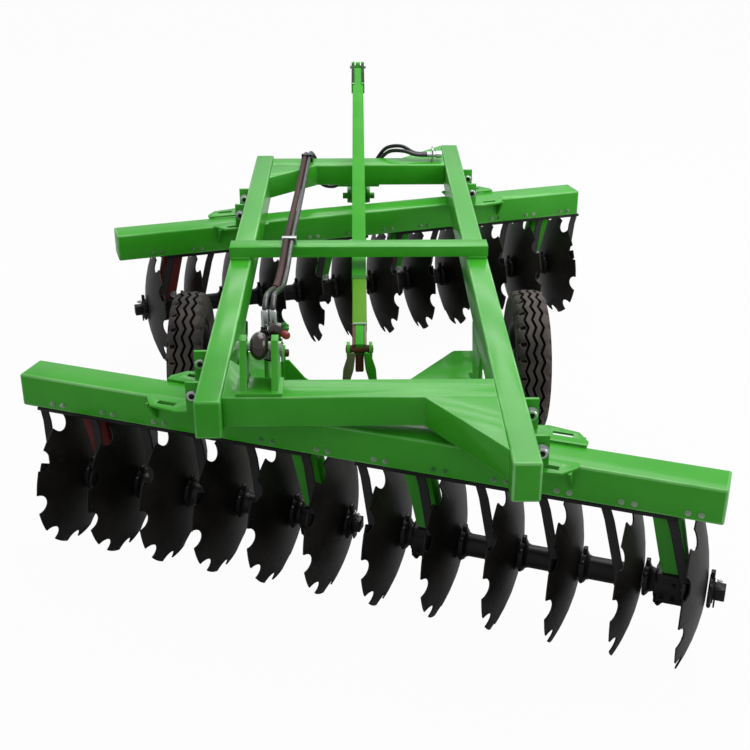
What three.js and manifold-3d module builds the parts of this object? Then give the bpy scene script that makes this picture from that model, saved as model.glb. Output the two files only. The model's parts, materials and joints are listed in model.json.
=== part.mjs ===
// Trailed offset disc harrow: a box-section frame over two gangs of notched discs set in a V,
// lifted by two wheels on a rockshaft that one hydraulic cylinder turns, with a levelling rod
// from the rockshaft to the drawbar. Millimetres, +X right, +Y forward, +Z up.
// Y is counted from the rear face of the rear cross beam, and Z from a little under the ground;
// the last lines centre the footprint and set the discs and wheels on Z = 0.
import * as THREE from 'three';
import { mergeVertices } from 'three/addons/utils/BufferGeometryUtils.js';
import Module from 'manifold-3d';

const wasm = await Module();
wasm.setup();

const gap = 0.3;                    // left between neighbouring solids
const deg = Math.PI / 180;

// Main frame
const railTop = 1010;
const railHeight = 150;
const railWidth = 100;
const frameWidth = 1200;            // over the two rails
const leftRailEnds = [-37, 3202];
const rightRailEnds = [-493, 3422];
const crossBeamHeight = 120;
const rearBeamEnds = [0, 150];
const frontBeamEnds = [2990, 3140];
const middleBeamEnds = [1436, 1534];
const middleBeamHeight = 50;
const railOuter = frameWidth / 2;
const railInner = railOuter - railWidth;
const railBottom = railTop - railHeight;
const beamBottom = railTop - crossBeamHeight;
const plateThickness = 12;

// Gangs
const ground = 92;
const gangs = {
  rear: {
    centre: [-40, 137],
    angle: 20 * deg,
    lean: 1,                        // +1 when the discs bulge towards +X
    beamLength: 2796,
    discSpacing: 230,
    rimCentre: 40,                  // middle of the row of disc rims, along the beam
  },
  front: {
    centre: [-14, 2676],
    angle: 16.5 * deg,
    lean: -1,
    beamLength: 2670,
    discSpacing: 216,
    rimCentre: 48,
  },
};
const gangBeamWidth = 150;
const gangBeamHeight = 140;
const gangBeamTop = 850;
const gangBeamBottom = gangBeamTop - gangBeamHeight;
const discRadius = 300;
const discThickness = 6;
const discDish = 65;
const discsPerGang = 6;
const notchCount = 10;
const notchHalfAngle = 8.3;         // degrees at the rim
const notchDepth = 44;
const shaftHeight = ground + discRadius;
const shaftRadius = 45;
const collarRadius = 60;
const collarLength = 34;
const bearingBore = 51;
const bearingRadius = 70;
const bearingLength = 140;

// Wheels, rockshaft, cylinder
const rockshaft = { y: 850, z: 600, radius: 57, halfLength: 545 };
const tyreRadius = 352;
const tyreWidth = 168;
const wheelAxle = { y: 1507, z: ground + tyreRadius };
const wheelTrack = 1630;            // between the two tyre centres
const rimRadius = 203;
const stubRadius = 28;
const cylinderX = -365;
const cylinderBase = { y: 120, z: 1160 };
const leverPin = { y: 870, z: 789 };
const barrelRadius = 38;
const barrelLength = 545;
const pistonRodRadius = 20;
const armSlope = Math.atan2(wheelAxle.z - rockshaft.z, wheelAxle.y - rockshaft.y);
const armLength = Math.hypot(wheelAxle.z - rockshaft.z, wheelAxle.y - rockshaft.y);

// Drawbar and levelling rod
const earPin = { y: 816, z: 830 };
const mastPin = { y: 4100, z: 1344 };
const drawbarHinge = { y: 3205, z: 760 };
const hitchPoint = { y: 4700, z: 480 };
const rodWidth = 66;

const harrow = new THREE.Group();
const paint = {
  green: new THREE.MeshStandardMaterial({ color: 0x2f9a24, roughness: 0.35, metalness: 0.1 }),
  primer: new THREE.MeshStandardMaterial({ color: 0x5a1a16, roughness: 0.6, metalness: 0.1 }),
  disc: new THREE.MeshStandardMaterial({ color: 0x1c1a19, roughness: 0.5, metalness: 0.6 }),
  black: new THREE.MeshStandardMaterial({ color: 0x151414, roughness: 0.45, metalness: 0.3 }),
  tyre: new THREE.MeshStandardMaterial({ color: 0x242120, roughness: 0.85, metalness: 0 }),
  zinc: new THREE.MeshStandardMaterial({ color: 0xb9bcbd, roughness: 0.35, metalness: 0.9 }),
  chrome: new THREE.MeshStandardMaterial({ color: 0xd5d8da, roughness: 0.12, metalness: 1 }),
  hose: new THREE.MeshStandardMaterial({ color: 0x141214, roughness: 0.35, metalness: 0 }),
};

// ---- solids from three.js geometry -------------------------------------------------------

function toSolid(geometry) {
  const bare = geometry.clone();
  bare.deleteAttribute('normal');
  bare.deleteAttribute('uv');
  const merged = mergeVertices(bare);
  return new wasm.Manifold(new wasm.Mesh({
    numProp: 3,
    vertProperties: Float32Array.from(merged.attributes.position.array),
    triVerts: Uint32Array.from(merged.index.array),
  }));
}

function toGeometry(solid) {
  const { vertProperties, triVerts } = solid.getMesh();
  const geometry = new THREE.BufferGeometry();
  geometry.setAttribute('position', new THREE.BufferAttribute(vertProperties, 3));
  geometry.setIndex(new THREE.BufferAttribute(triVerts, 1));
  geometry.computeVertexNormals();
  return geometry;
}

const joined = (solids) => solids.reduce((all, next) => all.add(next));
const moved = (geometry, x, y, z) => toSolid(geometry.translate(x, y, z));

// A block between two corners.
function block([x0, y0, z0], [x1, y1, z1]) {
  const box = new THREE.BoxGeometry(x1 - x0, y1 - y0, z1 - z0);
  return moved(box, (x0 + x1) / 2, (y0 + y1) / 2, (z0 + z1) / 2);
}

// A round bar lying along X between x0 and x1.
function barAlongX(radius, x0, x1, y, z, sides = 16) {
  const bar = new THREE.CylinderGeometry(radius, radius, x1 - x0, sides).rotateZ(Math.PI / 2);
  return moved(bar, (x0 + x1) / 2, y, z);
}

function barAlongZ(radius, z0, z1, x, y, sides = 16) {
  const bar = new THREE.CylinderGeometry(radius, radius, z1 - z0, sides).rotateX(Math.PI / 2);
  return moved(bar, x, y, (z0 + z1) / 2);
}

// A square or round bar from one point to another; `up` sets which way its height faces.
function barBetween(from, to, width, height, up = new THREE.Vector3(0, 0, 1)) {
  const start = new THREE.Vector3(...from);
  const along = new THREE.Vector3(...to).sub(start);
  const side = new THREE.Vector3().crossVectors(along, up).normalize();
  const top = new THREE.Vector3().crossVectors(side, along).normalize();
  const bar = new THREE.BoxGeometry(width, along.length(), height).translate(0, along.length() / 2, 0);
  bar.applyMatrix4(new THREE.Matrix4().makeBasis(side, along.clone().normalize(), top));
  return moved(bar, ...from);
}

function roundBetween(from, to, radius, sides = 16) {
  const start = new THREE.Vector3(...from);
  const along = new THREE.Vector3(...to).sub(start);
  const bar = new THREE.CylinderGeometry(radius, radius, along.length(), sides);
  bar.translate(0, along.length() / 2, 0);
  const turn = new THREE.Quaternion().setFromUnitVectors(
    new THREE.Vector3(0, 1, 0), along.clone().normalize());
  return moved(bar.applyQuaternion(turn), ...from);
}

function outline(points) {
  return points instanceof THREE.Shape ? points
    : new THREE.Shape(points.map(([a, b]) => new THREE.Vector2(a, b)));
}

function extruded(points, depth, basis, curveSegments = 4) {
  const geometry = new THREE.ExtrudeGeometry(outline(points),
    { depth, bevelEnabled: false, curveSegments });
  return geometry.applyMatrix4(new THREE.Matrix4().makeBasis(...basis));
}

const xAxis = new THREE.Vector3(1, 0, 0);
const yAxis = new THREE.Vector3(0, 1, 0);
const zAxis = new THREE.Vector3(0, 0, 1);
const backwards = new THREE.Vector3(0, -1, 0);

// Flat plates: cut in plan (x, y), seen from the side (y, z), or seen from behind (x, z).
const planPlate = (points, z0, z1) => moved(extruded(points, z1 - z0, [xAxis, yAxis, zAxis]), 0, 0, z0);
const sidePlate = (points, x0, x1) => moved(extruded(points, x1 - x0, [yAxis, zAxis, xAxis]), x0, 0, 0);
const rearPlate = (points, y0, y1) => moved(extruded(points, y1 - y0, [xAxis, zAxis, backwards]), 0, y1, 0);

function lathedAlongX(profile, segments) {
  const points = profile.map(([radius, x]) => new THREE.Vector2(radius, x));
  return new THREE.LatheGeometry(points, segments).rotateZ(-Math.PI / 2);
}

// A round-ended lever seen from the side: a disc at each centre and straight sides between.
function leverShape(y0, z0, r0, y1, z1, r1) {
  const slope = Math.atan2(z1 - z0, y1 - y0);
  const spread = Math.acos((r0 - r1) / Math.hypot(z1 - z0, y1 - y0));
  const shape = new THREE.Shape();
  shape.absarc(y0, z0, r0, slope + spread, slope - spread + 2 * Math.PI, false);
  shape.absarc(y1, z1, r1, slope - spread, slope + spread, false);
  return shape;
}

function add(name, solid, material, group = harrow) {
  const mesh = new THREE.Mesh(toGeometry(solid), material);
  mesh.name = name;
  group.add(mesh);
  return mesh;
}

// ---- main frame --------------------------------------------------------------------------

for (const [side, [rear, front]] of [[-1, leftRailEnds], [1, rightRailEnds]]) {
  const x = side * (railOuter - railWidth / 2);
  add(side < 0 ? 'left_rail' : 'right_rail',
    block([x - railWidth / 2, rear, railBottom], [x + railWidth / 2, front, railTop]), paint.green);
}

const beamReach = railInner - gap;
const rearLeftGusset = planPlate([
  [-beamReach, rearBeamEnds[1] - 1], [-430, rearBeamEnds[1] - 1],
  [-430, rearBeamEnds[1] + 90], [-beamReach, rearBeamEnds[1] + 185],
], railTop - plateThickness, railTop);
const rearBeam = block([-beamReach, rearBeamEnds[0], beamBottom], [beamReach, rearBeamEnds[1], railTop]);
add('rear_cross_beam', rearBeam.add(rearLeftGusset), paint.green);
add('front_cross_beam', block([-beamReach, frontBeamEnds[0], beamBottom],
  [beamReach, frontBeamEnds[1], railTop]), paint.green);

// The middle beam lies on the rails on two short feet.
const footHeight = 8;
add('middle_cross_beam', joined([
  block([-railOuter, middleBeamEnds[0], railTop + footHeight],
    [railOuter, middleBeamEnds[1], railTop + footHeight + middleBeamHeight]),
  ...[-1, 1].map((side) => block(
    [side * (railOuter - railWidth / 2) - 45, middleBeamEnds[0] - 12, railTop + gap],
    [side * (railOuter - railWidth / 2) + 45, middleBeamEnds[1] + 12, railTop + footHeight + 1])),
]), paint.green);

// Corner braces: a box strut across the corner under a flat top plate.
function cornerBrace(name, side, beamFace, outward, beamX, railReach) {
  const faceY = beamFace + outward * gap;
  const far = faceY + outward * railReach;
  const strut = planPlate([
    [side * beamX, faceY], [side * (beamX + 120), faceY],
    [side * beamReach, far - outward * 130], [side * beamReach, far],
  ], beamBottom, railTop - 1);
  const cover = planPlate([
    [side * beamX, faceY], [side * beamReach, faceY], [side * beamReach, far],
  ], railTop - plateThickness, railTop);
  add(name, strut.add(cover), paint.green);
}
cornerBrace('rear_right_brace', 1, rearBeamEnds[0], -1, 235, 400);
cornerBrace('front_right_brace', 1, frontBeamEnds[1], 1, 255, 270);
cornerBrace('front_left_brace', -1, frontBeamEnds[0], -1, 240, 245);

// ---- gangs -------------------------------------------------------------------------------

// How far the dished plate lies behind its centre at a given radius.
const dishSphere = (discRadius ** 2 + discDish ** 2) / (2 * discDish);
const dishAt = (radius) => dishSphere - Math.sqrt(dishSphere ** 2 - radius ** 2);

function ringPoints(radius, count) {
  return Array.from({ length: count }, (_, i) => {
    const angle = (i / count) * 2 * Math.PI;
    return new THREE.Vector2(radius * Math.cos(angle), radius * Math.sin(angle));
  });
}

// Triangles between two rows of points that run the same way round.
function strip(rowA, rowB) {
  const triangles = [];
  let [a, b] = [0, 0];
  while (a < rowA.length - 1 || b < rowB.length - 1) {
    const stepA = b === rowB.length - 1
      || (a < rowA.length - 1 && (a + 1) * (rowB.length - 1) <= (b + 1) * (rowA.length - 1));
    triangles.push(stepA ? [rowA[a], rowA[a + 1], rowB[b]] : [rowA[a], rowB[b + 1], rowB[b]]);
    if (stepA) a += 1; else b += 1;
  }
  return triangles;
}

// One dished, notched disc with its hub at `x`; `lean` is +1 when it bulges towards +X.
// It is laid out sector by sector: one round bite and one plain land each.
function discSolid(x, lean, phase) {
  const sector = 360 / notchCount;
  const middleRadius = discRadius * 0.58;
  const bite = [[-1, 0], [-0.58, 0.86], [0.58, 0.86], [1, 0]].map(
    ([across, deep]) => [across * notchHalfAngle, discRadius - deep * notchDepth]);
  const rim = [...bite, [sector / 2, discRadius], [sector - notchHalfAngle, discRadius]];
  const middle = [-sector / 4, sector / 4, 3 * sector / 4].map((angle) => [angle, middleRadius]);
  const corners = [];
  for (let i = 0; i < notchCount; i += 1) {
    const place = (face) => ([angle, radius]) => {
      const turn = (angle + phase + i * sector) * deg;
      return [face * discThickness / 2 - lean * dishAt(radius),
        radius * Math.cos(turn), radius * Math.sin(turn)];
    };
    const [front, back] = [1, -1].map((face) => [[[0, 0]], middle, rim].map((row) => row.map(place(face))));
    for (const ring of [0, 1]) {
      corners.push(...strip(front[ring + 1], front[ring]), ...strip(back[ring], back[ring + 1]));
    }
    corners.push(...strip(back[2], front[2]));
  }
  const disc = new THREE.BufferGeometry();
  disc.setAttribute('position', new THREE.Float32BufferAttribute(corners.flat(2), 3));
  return moved(disc, x, 0, shaftHeight);
}

const discPhases = [0, 6, -4, 3, -7, 5];
const outerEnd = 64;                // shaft end past the outer disc
const innerEnd = 58;                // and past the disc next to the middle

function discGang(name, hubs, lean, group) {
  const [first, last] = [hubs[0], hubs[hubs.length - 1]];
  const inboardIsLast = Math.abs(last) < Math.abs(first);
  const ends = inboardIsLast ? [first - outerEnd, last + innerEnd] : [first - innerEnd, last + outerEnd];
  const solids = [barAlongX(shaftRadius, first, last, 0, shaftHeight, 10)];
  hubs.forEach((x, i) => {
    solids.push(discSolid(x, lean, discPhases[i]));
  });
  // Square gang-bolt nuts on round washers.
  const nut = 29;
  solids.push(barAlongX(collarRadius, first - collarLength, last + collarLength, 0, shaftHeight, 10)
    .subtract(barAlongX(collarRadius + 20, first, last, 0, shaftHeight, 10)));
  solids.push(block([ends[0], -nut, shaftHeight - nut], [ends[1], nut, shaftHeight + nut]));
  return add(name, joined(solids), paint.disc, group);
}

// Standards hang the shaft from the beam: a plate web inside a folded rim, over a split bearing.
const standardLean = 58;            // how far the top stands back from the bearing
function standard(name, x, lean, material, group) {
  const shift = lean * standardLean;
  const [top, low] = [gangBeamBottom - gap, shaftHeight + bearingRadius - 16];
  const half = 51;
  const corner = 26;
  const shape = (inset) => {
    const s = new THREE.Shape();
    s.moveTo(x - shift - half + inset, top - inset);
    s.lineTo(x - half + 4 + inset, low + corner);
    s.lineTo(x - half + corner + inset, low + inset);
    s.lineTo(x + half - corner - inset, low + inset);
    s.lineTo(x + half - 4 - inset, low + corner);
    s.lineTo(x - shift + half - inset, top - inset);
    return s;
  };
  const halfDepth = 38;
  const webHalf = 6;
  const rim = 10;
  const body = rearPlate(shape(0), -halfDepth, halfDepth)
    .subtract(rearPlate(shape(rim), webHalf, halfDepth + 1))
    .subtract(rearPlate(shape(rim), -halfDepth - 1, -webHalf));
  const foot = block([x - shift - half - 22, -halfDepth, top - plateThickness],
    [x - shift + half + 22, halfDepth + 14, top]);
  const housing = barAlongX(bearingRadius, x - bearingLength / 2, x + bearingLength / 2, 0, shaftHeight, 12);
  const bore = barAlongX(bearingBore, x - bearingLength, x + bearingLength, 0, shaftHeight, 12);
  return add(name, joined([body, foot, housing]).subtract(bore), material, group);
}

// Scrapers: a flat bar under the rear edge of the beam, with an arm and blade into each disc.
const armSetback = 168;             // from a disc's hub back to the foot of its scraper arm
const scraperBar = { y0: -74, y1: -46, z0: gangBeamBottom - 14, z1: gangBeamBottom - gap };
function scraperRack(name, hubs, lean, group) {
  const start = hubs.map((x) => x - lean * armSetback);
  const low = Math.min(...start) - 45;
  const high = Math.max(...start) + 45;
  const solids = [block([low, scraperBar.y0, scraperBar.z0], [high, scraperBar.y1, scraperBar.z1])];
  hubs.forEach((x, i) => {
    const bladeRadius = 188;
    const bladeAngle = 28 * deg;    // above the shaft, on the rear side
    const blade = [
      x - lean * (dishAt(bladeRadius) + discThickness / 2 + 21),
      -bladeRadius * Math.cos(bladeAngle),
      shaftHeight + bladeRadius * Math.sin(bladeAngle),
    ];
    const armEnd = [blade[0] - lean * 16, blade[1] + 4, blade[2] + 10];
    solids.push(barBetween([start[i], -60, scraperBar.z0 - 3], armEnd, 44, 12, yAxis));
    const plate = new THREE.BoxGeometry(6, 64, 186)
      .rotateY(-lean * Math.asin(bladeRadius / dishSphere))
      .rotateX(Math.PI / 2 - bladeAngle);
    solids.push(moved(plate, ...blade));
  });
  return add(name, joined(solids), paint.black, group);
}

// Rail clamps: a slotted plate between rail and gang beam, ribs down the beam's faces,
// and lugs that stand against the outer side of the rail.
function railClamp(name, side, { centre, angle, lean }, group) {
  const railX = side * (railOuter - railWidth / 2);
  const x = (railX - centre[0]) / Math.cos(angle);
  const out = (distance) => x + side * distance;
  const halfBeam = gangBeamWidth / 2;
  const [z0, z1] = [gangBeamTop + gap, railBottom - gap];
  const wing = 105;
  const plate = planPlate([
    [out(-30), -halfBeam - 60], [out(95), -halfBeam - wing], [out(215), -halfBeam - wing + 20],
    [out(260), -halfBeam - 25], [out(260), -halfBeam + 8], [out(70), -halfBeam + 8],
    [out(70), halfBeam - 8], [out(260), halfBeam - 8], [out(260), halfBeam + 25],
    [out(215), halfBeam + wing - 20], [out(95), halfBeam + wing], [out(-30), halfBeam + 60],
  ], z0, z1);
  const solids = [plate];
  const cuts = [];
  for (const end of [-1, 1]) {
    const face = end * (halfBeam + gap);
    // The rib under the wing runs down the beam.
    solids.push(sidePlate([[face, z0 + 1], [face + end * 70, z0 + 1], [face, z0 - 95]],
      out(238) - 6, out(238) + 6));
    const slotY = end * (halfBeam + 52);
    cuts.push(planPlate([[out(122), slotY - 13], [out(198), slotY - 13],
      [out(198), slotY + 13], [out(122), slotY + 13]], z0 - 1, z1 + 1));
    // The lug stands square to the rail.
    const lug = new THREE.BoxGeometry(58, 16, 122).translate(side * 29, 0, 61);
    const turn = lean * angle;
    lug.rotateZ(turn);
    const along = end * (halfBeam + 58);
    const railFace = (side * (railOuter + gap) - centre[0]) / Math.cos(angle);
    solids.push(moved(lug, railFace - along * Math.tan(turn), along, z1 - 4));
  }
  return add(name, cuts.reduce((all, cut) => all.subtract(cut), joined(solids)), paint.green, group);
}

for (const [prefix, gang] of Object.entries(gangs)) {
  const { centre, angle, lean, beamLength, discSpacing, rimCentre } = gang;
  const unit = new THREE.Group();
  unit.position.set(centre[0], centre[1], 0);
  unit.rotation.z = -lean * angle;
  harrow.add(unit);
  const half = beamLength / 2;
  add(`${prefix}_gang_beam`, block([-half, -gangBeamWidth / 2, gangBeamBottom],
    [half, gangBeamWidth / 2, gangBeamTop]), paint.green, unit);
  const middle = rimCentre + lean * discDish;
  const row = discsPerGang * 2;
  const hubs = Array.from({ length: row }, (_, i) => middle + (i - (row - 1) / 2) * discSpacing);
  const halves = { left: hubs.slice(0, discsPerGang), right: hubs.slice(discsPerGang) };
  for (const [hand, half12] of Object.entries(halves)) {
    discGang(`${prefix}_${hand}_gang`, half12, lean, unit);
    scraperRack(`${prefix}_${hand}_scrapers`, half12, lean, unit);
  }
  const spots = { outer_left: 0, inner_left: 4, inner_right: 6, outer_right: 10 };
  for (const [spot, index] of Object.entries(spots)) {
    const between = (hubs[index] + hubs[index + 1]) / 2;
    standard(`${prefix}_standard_${spot}`, between, lean,
      spot === 'outer_left' ? paint.primer : paint.green, unit);
  }
  railClamp(`${prefix}_left_clamp`, -1, gang, unit);
  railClamp(`${prefix}_right_clamp`, 1, gang, unit);
}

// ---- rockshaft and wheels ----------------------------------------------------------------

// Hanger plates under the rails carry the rockshaft in a boss.
for (const side of [-1, 1]) {
  const [inner, outer] = [side * railInner, side * (railInner + 16)].sort((a, b) => a - b);
  const plate = sidePlate([
    [660, railBottom - gap], [rockshaft.y - 84, rockshaft.z], [rockshaft.y - 60, rockshaft.z - 60],
    [rockshaft.y, rockshaft.z - 84], [rockshaft.y + 60, rockshaft.z - 60],
    [rockshaft.y + 84, rockshaft.z], [1047, railBottom - gap],
  ], inner, outer);
  const bore = barAlongX(rockshaft.radius + 6, inner - 5, outer + 5, rockshaft.y, rockshaft.z, 16);
  add(side < 0 ? 'left_shaft_hanger' : 'right_shaft_hanger', plate.subtract(bore), paint.green);
}

// The rockshaft with the cylinder lever and the two ears of the levelling rod.
const leverHalfGap = 28;
const earHalfGap = rodWidth / 2 + 8;
const leverPlates = [-1, 1].map((side) => {
  const near = cylinderX + side * leverHalfGap;
  const far = near + side * 16;
  return sidePlate(leverShape(rockshaft.y, rockshaft.z, 56, leverPin.y, leverPin.z, 34),
    Math.min(near, far), Math.max(near, far));
});
const leverBrace = rearPlate([
  [cylinderX + leverHalfGap + 14, rockshaft.z + 50], [-215, rockshaft.z + 50],
  [cylinderX + leverHalfGap + 32, leverPin.z - 25], [cylinderX + leverHalfGap + 14, leverPin.z - 25],
], rockshaft.y - 6, rockshaft.y + 6);
const ears = [-1, 1].map((side) => {
  const near = side * earHalfGap;
  const far = side * (earHalfGap + 14);
  return sidePlate(leverShape(rockshaft.y, rockshaft.z, 56, earPin.y, earPin.z, 32),
    Math.min(near, far), Math.max(near, far));
});
add('rockshaft', joined([
  barAlongX(rockshaft.radius, -rockshaft.halfLength, rockshaft.halfLength, rockshaft.y, rockshaft.z, 16),
  ...leverPlates, leverBrace, ...ears,
]), paint.green);

// Each arm is a box beside its hanger that steps out to the wheel, with a wide web to the shaft.
const arms = new THREE.Group();
arms.position.set(0, rockshaft.y, rockshaft.z);
arms.rotation.x = armSlope;
harrow.add(arms);
for (const side of [-1, 1]) {
  const root = rockshaft.radius + gap;
  const box = planPlate([
    [side * 400, root], [side * 492, root], [side * 492, 230], [side * 560, 230],
    [side * 560, armLength + 60], [side * 463, armLength + 60],
  ], -45, 45);
  const web = planPlate([
    [side * 212, root], [side * 410, root], [side * 470, armLength + 40], [side * 455, armLength + 40],
  ], 33, 45);
  const [x0, x1] = [side * 550, side * 700].sort((a, b) => a - b);
  const [s0, s1] = [side * 690, side * (wheelTrack / 2 + 38)].sort((a, b) => a - b);
  add(side < 0 ? 'left_wheel_arm' : 'right_wheel_arm', joined([
    box, web, barAlongX(40, x0, x1, armLength, 0), barAlongX(stubRadius, s0, s1, armLength, 0),
  ]), paint.green, arms);
}

// Wheels: ribbed tyre on a pressed rim with a capped hub.
const beadHalf = 58;
const tyreProfile = [
  [rimRadius + gap, -beadHalf], [225, -beadHalf], [246, -76], [288, -tyreWidth / 2], [330, -78],
  [349, -60], [tyreRadius, -32], [tyreRadius, 32], [349, 60], [330, 78], [288, tyreWidth / 2],
  [246, 76], [225, beadHalf], [rimRadius + gap, beadHalf], [rimRadius + gap, -beadHalf],
];
const flange = beadHalf + 10;
const rimProfile = [
  [0, 46], [stubRadius + 5, 46], [stubRadius + 5, -62], [64, -62], [64, -6], [188, -6],
  [188, -flange], [222, -flange], [222, -beadHalf - 0.5], [rimRadius, -beadHalf - 0.5],
  [rimRadius, beadHalf + 0.5], [222, beadHalf + 0.5], [222, flange], [188, flange], [188, 6],
  [64, 6], [58, 58], [0, 58],
];
for (const side of [-1, 1]) {
  const name = side < 0 ? 'left' : 'right';
  const at = [side * wheelTrack / 2, wheelAxle.y, wheelAxle.z];
  const outwards = side > 0 ? 0 : Math.PI;
  const place = (profile, segments) => moved(lathedAlongX(profile, segments).rotateZ(outwards), ...at);
  add(`${name}_tyre`, place(tyreProfile, 20), paint.tyre);
  add(`${name}_wheel_rim`, place(rimProfile, 20), paint.black);
}

// ---- cylinder ----------------------------------------------------------------------------

const cylinderRun = new THREE.Vector2(leverPin.y - cylinderBase.y, leverPin.z - cylinderBase.z);
const cylinderSpan = cylinderRun.length();
const along = cylinderRun.clone().normalize();
const onCylinder = (s) => [cylinderX, cylinderBase.y + along.x * s, cylinderBase.z + along.y * s];

// Base bracket: two lugs and their pin on a foot plate.
const lugInner = 45;
const lugThickness = 25;
const basePinRadius = 18;
add('cylinder_bracket', joined([
  block([cylinderX - 84, 6, railTop + gap], [cylinderX + 84, 144, railTop + plateThickness]),
  ...[-1, 1].map((side) => {
    const near = cylinderX + side * lugInner;
    const far = near + side * lugThickness;
    return sidePlate([[22, railTop + 5], [142, railTop + 5], [158, cylinderBase.z],
      [146, cylinderBase.z + 34], [cylinderBase.y, cylinderBase.z + 44], [92, cylinderBase.z + 34],
      [78, cylinderBase.z]], Math.min(near, far), Math.max(near, far));
  }),
  barAlongX(basePinRadius, cylinderX - lugInner - lugThickness - 12,
    cylinderX + lugInner + lugThickness + 12, cylinderBase.y, cylinderBase.z),
]), paint.green);

const barrelStart = 130;            // bottom of the bore, from the base pin
const portBlock = barBetween(
  [cylinderX + 32, ...onCylinder(120).slice(1)], [cylinderX + 32, ...onCylinder(185).slice(1)], 56, 62);
add('cylinder_barrel', joined([
  roundBetween(onCylinder(-44), onCylinder(barrelLength), barrelRadius, 20),
  roundBetween(onCylinder(barrelLength - 40), onCylinder(barrelLength + 18), barrelRadius + 6, 20),
  portBlock,
])
  .subtract(roundBetween(onCylinder(barrelStart), onCylinder(barrelLength + 40), pistonRodRadius + 4, 16))
  .subtract(barAlongX(basePinRadius + 3, cylinderX - 90, cylinderX + 90, cylinderBase.y, cylinderBase.z)),
paint.black);

const eyeHalf = 22;
add('cylinder_rod', joined([
  roundBetween(onCylinder(barrelStart + 110), onCylinder(cylinderSpan - 20), pistonRodRadius, 16),
  barAlongX(36, cylinderX - eyeHalf, cylinderX + eyeHalf, leverPin.y, leverPin.z, 20),
]).subtract(barAlongX(20, cylinderX - 40, cylinderX + 40, leverPin.y, leverPin.z)), paint.chrome);

// ---- drawbar, levelling rod and hitch ----------------------------------------------------

// Hinge bracket under the front beam: two plates with a pin between the drawbar's ears.
const hingeHalf = 42;
add('drawbar_bracket', joined([
  block([-120, frontBeamEnds[0] + 8, beamBottom - plateThickness],
    [120, frontBeamEnds[1] - 2, beamBottom - gap]),
  ...[-1, 1].map((side) => {
    const near = side * 20;
    const far = side * hingeHalf;
    return sidePlate([[frontBeamEnds[0] + 20, beamBottom - 5], [frontBeamEnds[1] - 4, beamBottom - 5],
      [drawbarHinge.y + 34, drawbarHinge.z + 22], [drawbarHinge.y + 40, drawbarHinge.z - 10],
      [drawbarHinge.y + 18, drawbarHinge.z - 36], [drawbarHinge.y - 18, drawbarHinge.z - 38],
      [drawbarHinge.y - 60, drawbarHinge.z]], Math.min(near, far), Math.max(near, far));
  }),
  barAlongX(18, -95, 95, drawbarHinge.y, drawbarHinge.z),
]), paint.green);

const barRun = new THREE.Vector2(hitchPoint.y - drawbarHinge.y, hitchPoint.z - drawbarHinge.z).normalize();
const onDrawbar = (s, rise = 0) => [
  drawbarHinge.y + barRun.x * s - barRun.y * rise, drawbarHinge.z + barRun.y * s + barRun.x * rise];
const drawbarLength = 1400;
const mastHalf = 14;
const mastFoot = [620, 1150];       // where the mast's two legs meet the drawbar
const clevisRadius = 30;
const drawbarEars = [-1, 1].map((side) => {
  const near = side * (hingeHalf + 6);
  const far = side * (hingeHalf + 26);
  const [endY, endZ] = onDrawbar(150);
  return sidePlate(leverShape(drawbarHinge.y, drawbarHinge.z, 42, endY, endZ, 58),
    Math.min(near, far), Math.max(near, far)).subtract(
    barAlongX(21, -120, 120, drawbarHinge.y, drawbarHinge.z));
});
const mast = sidePlate([
  onDrawbar(mastFoot[0], 50), onDrawbar(mastFoot[1], 50), [mastPin.y + clevisRadius, mastPin.z - 20],
  [mastPin.y + 18, mastPin.z + 26], [mastPin.y - 18, mastPin.z + 26],
  [mastPin.y - clevisRadius, mastPin.z - 20],
], -mastHalf, mastHalf);
const mastWindow = sidePlate([
  onDrawbar(mastFoot[0] + 110, 62), onDrawbar(mastFoot[1] - 90, 62),
  [mastPin.y + 4, mastPin.z - 150], [mastPin.y - 8, mastPin.z - 150],
], -mastHalf - 1, mastHalf + 1);
const [tailY, tailZ] = onDrawbar(110);
const [noseY, noseZ] = onDrawbar(drawbarLength);
add('drawbar', joined([
  barBetween([0, tailY, tailZ], [0, noseY, noseZ], 110, 116),
  ...drawbarEars, mast.subtract(mastWindow),
]), paint.green);

// Hitch tongue: a level plate with an upright eye, on an upright block that closes the drawbar's nose.
const tongueHalf = 18;
const eyeRadius = 26;
const blockHalf = 66;
const blockFront = noseY + 44;
add('hitch_tongue', joined([
  planPlate([[-60, noseY + 12], [60, noseY + 12], [52, hitchPoint.y + 10], [30, hitchPoint.y + 56],
    [-30, hitchPoint.y + 56], [-52, hitchPoint.y + 10]],
  hitchPoint.z - tongueHalf, hitchPoint.z + tongueHalf),
  sidePlate([onDrawbar(drawbarLength + gap, -blockHalf), onDrawbar(drawbarLength + gap, blockHalf),
    [blockFront, noseZ + blockHalf - 12], [blockFront, noseZ - blockHalf - 12]], -65, 65),
]).subtract(barAlongZ(eyeRadius, hitchPoint.z - 60, hitchPoint.z + 60, 0, hitchPoint.y, 20)),
paint.green);

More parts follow.
